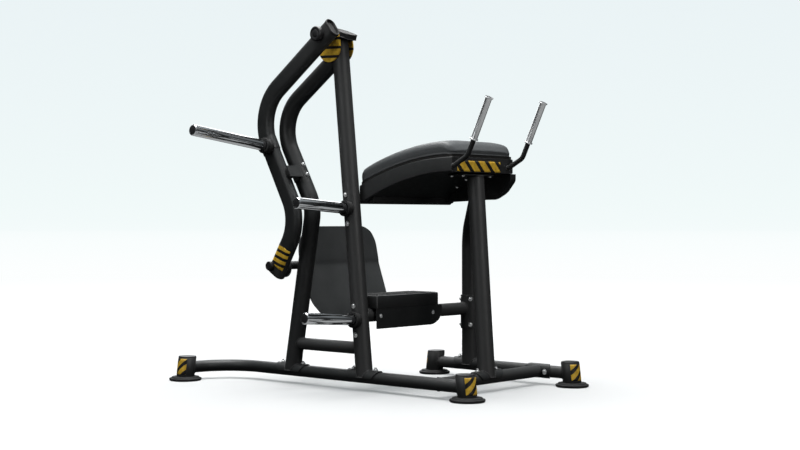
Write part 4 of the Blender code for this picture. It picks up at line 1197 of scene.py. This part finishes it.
def cushion_mesh(bm):
    """A rounded box of quads: flat base, upright sides and a crowned top."""
    forwards = fan(61, PAD_HIP + 0.002, PAD_FRONT - 0.002)
    lefts = fan(57, -1, 1)

    def reach(forward):
        """Half width here, drawn in round the plan's corners."""
        half = pad_half(forward) - 0.0025
        for end, radius in ((PAD_FRONT - 0.002, 0.030), (PAD_HIP + 0.002, 0.012)):
            gap = abs(end - forward)
            if gap < radius:
                half -= radius - math.sqrt(radius * radius - (radius - gap) ** 2)
        return half

    def height(forward, share):
        """Height over the board: soft shoulders at the sides, a longer roll at the nose."""
        side = (1 - abs(share)) * reach(forward)
        drop = 0.0
        for gap, radius in ((side, 0.018), (PAD_FRONT - 0.002 - forward, 0.06),
                            (forward - PAD_HIP - 0.002, 0.012)):
            if gap < radius:
                drop = max(drop, 0) + radius - math.sqrt(radius * radius - (radius - gap) ** 2)
        crown = 0.009 * (1 - share ** 4)
        return 0.053 + crown - min(drop, 0.040)

    top = [[bm.verts.new(at(forward, PAD_MIDDLE + share * reach(forward),
                            pad_high(forward) + CUSHION_UP + height(forward, share)))
            for share in lefts] for forward in forwards]
    base = [[bm.verts.new(at(forward, PAD_MIDDLE + share * reach(forward),
                             pad_high(forward) + CUSHION_UP)) for share in lefts]
            for forward in forwards]
    for rows in (top, base):
        skin(bm, rows)
    outside, under = edge_loop(top), edge_loop(base)
    levels = [under]
    for share in (0.03, 0.2, 0.4, 0.6, 0.8):
        level = []
        for low, high in zip(under, outside):
            spot = low.co.lerp(high.co, share)
            level.append(bm.verts.new(spot))
        levels.append(level)
    levels.append(outside)
    for first, second in zip(levels, levels[1:]):
        bridge(bm, first, second)


bm = bmesh.new()
cushion_mesh(bm)
cushion = make("pad_cushion_cover", bm, "root", "upholstery", ["pad_cushion"], 180)
still = [corner.co.copy() for corner in cushion.data.vertices]
pins = cushion.vertex_groups.new(name="fixed_edge")
for corner in cushion.data.vertices:
    above = corner.co.z - pad_high(corner.co.x - front_foot.x) - CUSHION_UP
    if above < 0.016:
        pins.add([corner.index], 1.0 - max(0.0, above) * 20, "REPLACE")
cloth = cushion.modifiers.new("cover_tension", "CLOTH")
cloth.settings.quality = 6
cloth.settings.mass = 0.4
cloth.settings.tension_stiffness = cloth.settings.compression_stiffness = 60
cloth.settings.shear_stiffness = 30
cloth.settings.bending_stiffness = 6
cloth.settings.use_pressure = True
cloth.settings.uniform_pressure_force = 3
cloth.settings.vertex_group_mass = "fixed_edge"
cloth.settings.effector_weights.gravity = 0
cloth.settings.shrink_min = -0.012
cloth.collision_settings.use_collision = False
cloth.point_cache.frame_end = CLOTH_FRAMES
scene = bpy.context.scene
for moment in range(1, CLOTH_FRAMES + 1):
    scene.frame_set(moment)
graph = bpy.context.evaluated_depsgraph_get()
settled = [corner.co.copy() for corner in cushion.evaluated_get(graph).data.vertices]
cushion.modifiers.remove(cloth)
scene.frame_set(1)
moves = [after - before for before, after in zip(still, settled)]
for _ in range(SMOOTHING_PASSES):
    sums, counts = [Vector() for _ in moves], [0] * len(moves)
    for edge in cushion.data.edges:
        first, second = edge.vertices
        sums[first] += moves[second]
        sums[second] += moves[first]
        counts[first] += 1
        counts[second] += 1
    moves = [(move + total) / (count + 1) for move, total, count in zip(moves, sums, counts)]
for corner, before, move in zip(cushion.data.vertices, still, moves):
    corner.co = before + move * min(1, MOST_CREASE / max(move.length, 1e-9))


def cushion_seams():
    """Pulls the cover in along its seam line."""
    base_of = [corner.co.z - pad_high(corner.co.x - front_foot.x) - CUSHION_UP
               for corner in cushion.data.vertices]
    centre = at((PAD_FRONT + PAD_HIP) / 2, PAD_MIDDLE, 0)
    for corner, above in zip(cushion.data.vertices, base_of):
        near = math.exp(-((above - 0.006) / 0.006) ** 2)
        inward = Vector((centre.x - corner.co.x, centre.y - corner.co.y, 0)).normalized()
        if above > 0.001:
            corner.co += inward * 0.0018 * near


cushion_seams()
cushion.modifiers.new("smooth_cover", "SUBSURF").levels = 1
cushion.modifiers["smooth_cover"].render_levels = 1

# ---------------------------------------------------------------- handles

for name, left in (("right", 0.15), ("left", 0.54)):
    route = [at(forward, left, up) for forward, up in
             ((PAD_FRONT + 0.0055, 0.989), (-0.118, 1.030), (-0.004, 1.270))]
    path = bent(route, 0.045, 16)
    stem = bmesh.new()
    sweep(stem, path, circle(0.022, 32), Y)
    make("handle_tube_" + name, stem, "root", "powder_coat", ["handle_stem_" + name], 50)
    weld(bead, route[0] + (route[1] - route[0]) * 0.5, route[0] - route[1], 0.011,
         plane_hit(at(PAD_FRONT, 0, 0), X), 0.0025, 60)
    axis = (path[-1] - path[-2]).normalized()
    start = path[-1] - axis * 0.191
    profile = [(0.0123, 0), (0.0186, 0), (0.019, 0.0004), (0.019, 0.0046), (0.0186, 0.005),
               (0.0146, 0.0056), (0.0144, 0.0062)]
    profile += [(0.0144, 0.1888), (0.0146, 0.1894), (0.0186, 0.19), (0.019, 0.1904),
                (0.019, 0.1946), (0.0186, 0.195), (0.0123, 0.195), (0.0123, 0)]
    grip = bmesh.new()
    revolve(grip, start, axis, profile, 56)
    make("handle_sleeve_" + name, grip, "root", "grip_metal", ["handle_grip_" + name], 35)
    plug = bmesh.new()
    revolve(plug, path[-1] - axis * 0.001, axis, rounded(
        [(0.0118, 0), (0.0118, 0.0048), (0.002, 0.0052)], 0.0014, 4, False), 40)
    make("handle_plug_" + name, plug, "root", "plastic")

# ---------------------------------------------------------------- joined beads, bolts, the rest

make("weld_beads", bead, "root", "powder_coat", (), 60)
make("fasteners", bolts, "root", "zinc", (), 35)
hub_hit = plane_hit(at(0, ARM_LEFT + ARM_THICK / 2, 0), Y)
weld(bead_arm, at(PIVOT[0], -0.05, PIVOT[1]), -Y, 0.028, hub_hit)
make("arm_weld_beads", bead_arm, "arm", "powder_coat", (), 60)

LEFT_AS_CAD = {"foot_rib_right": "powder_coat",
               "foot_rib_left": "powder_coat", "pivot_shaft": "zinc"}
for node, slot in LEFT_AS_CAD.items():
    solid = bpy.data.objects[node]
    solid.data.materials.clear()
    solid.data.materials.append(FINISHES[slot])

shiny = bpy.data.collections.new("lit_from_below")
for piece in bpy.context.scene.objects:
    if piece.name.endswith(("_chrome", "handle_sleeve_right", "handle_sleeve_left", "fasteners")):
        shiny.objects.link(piece)
below.light_linking.receiver_collection = shiny
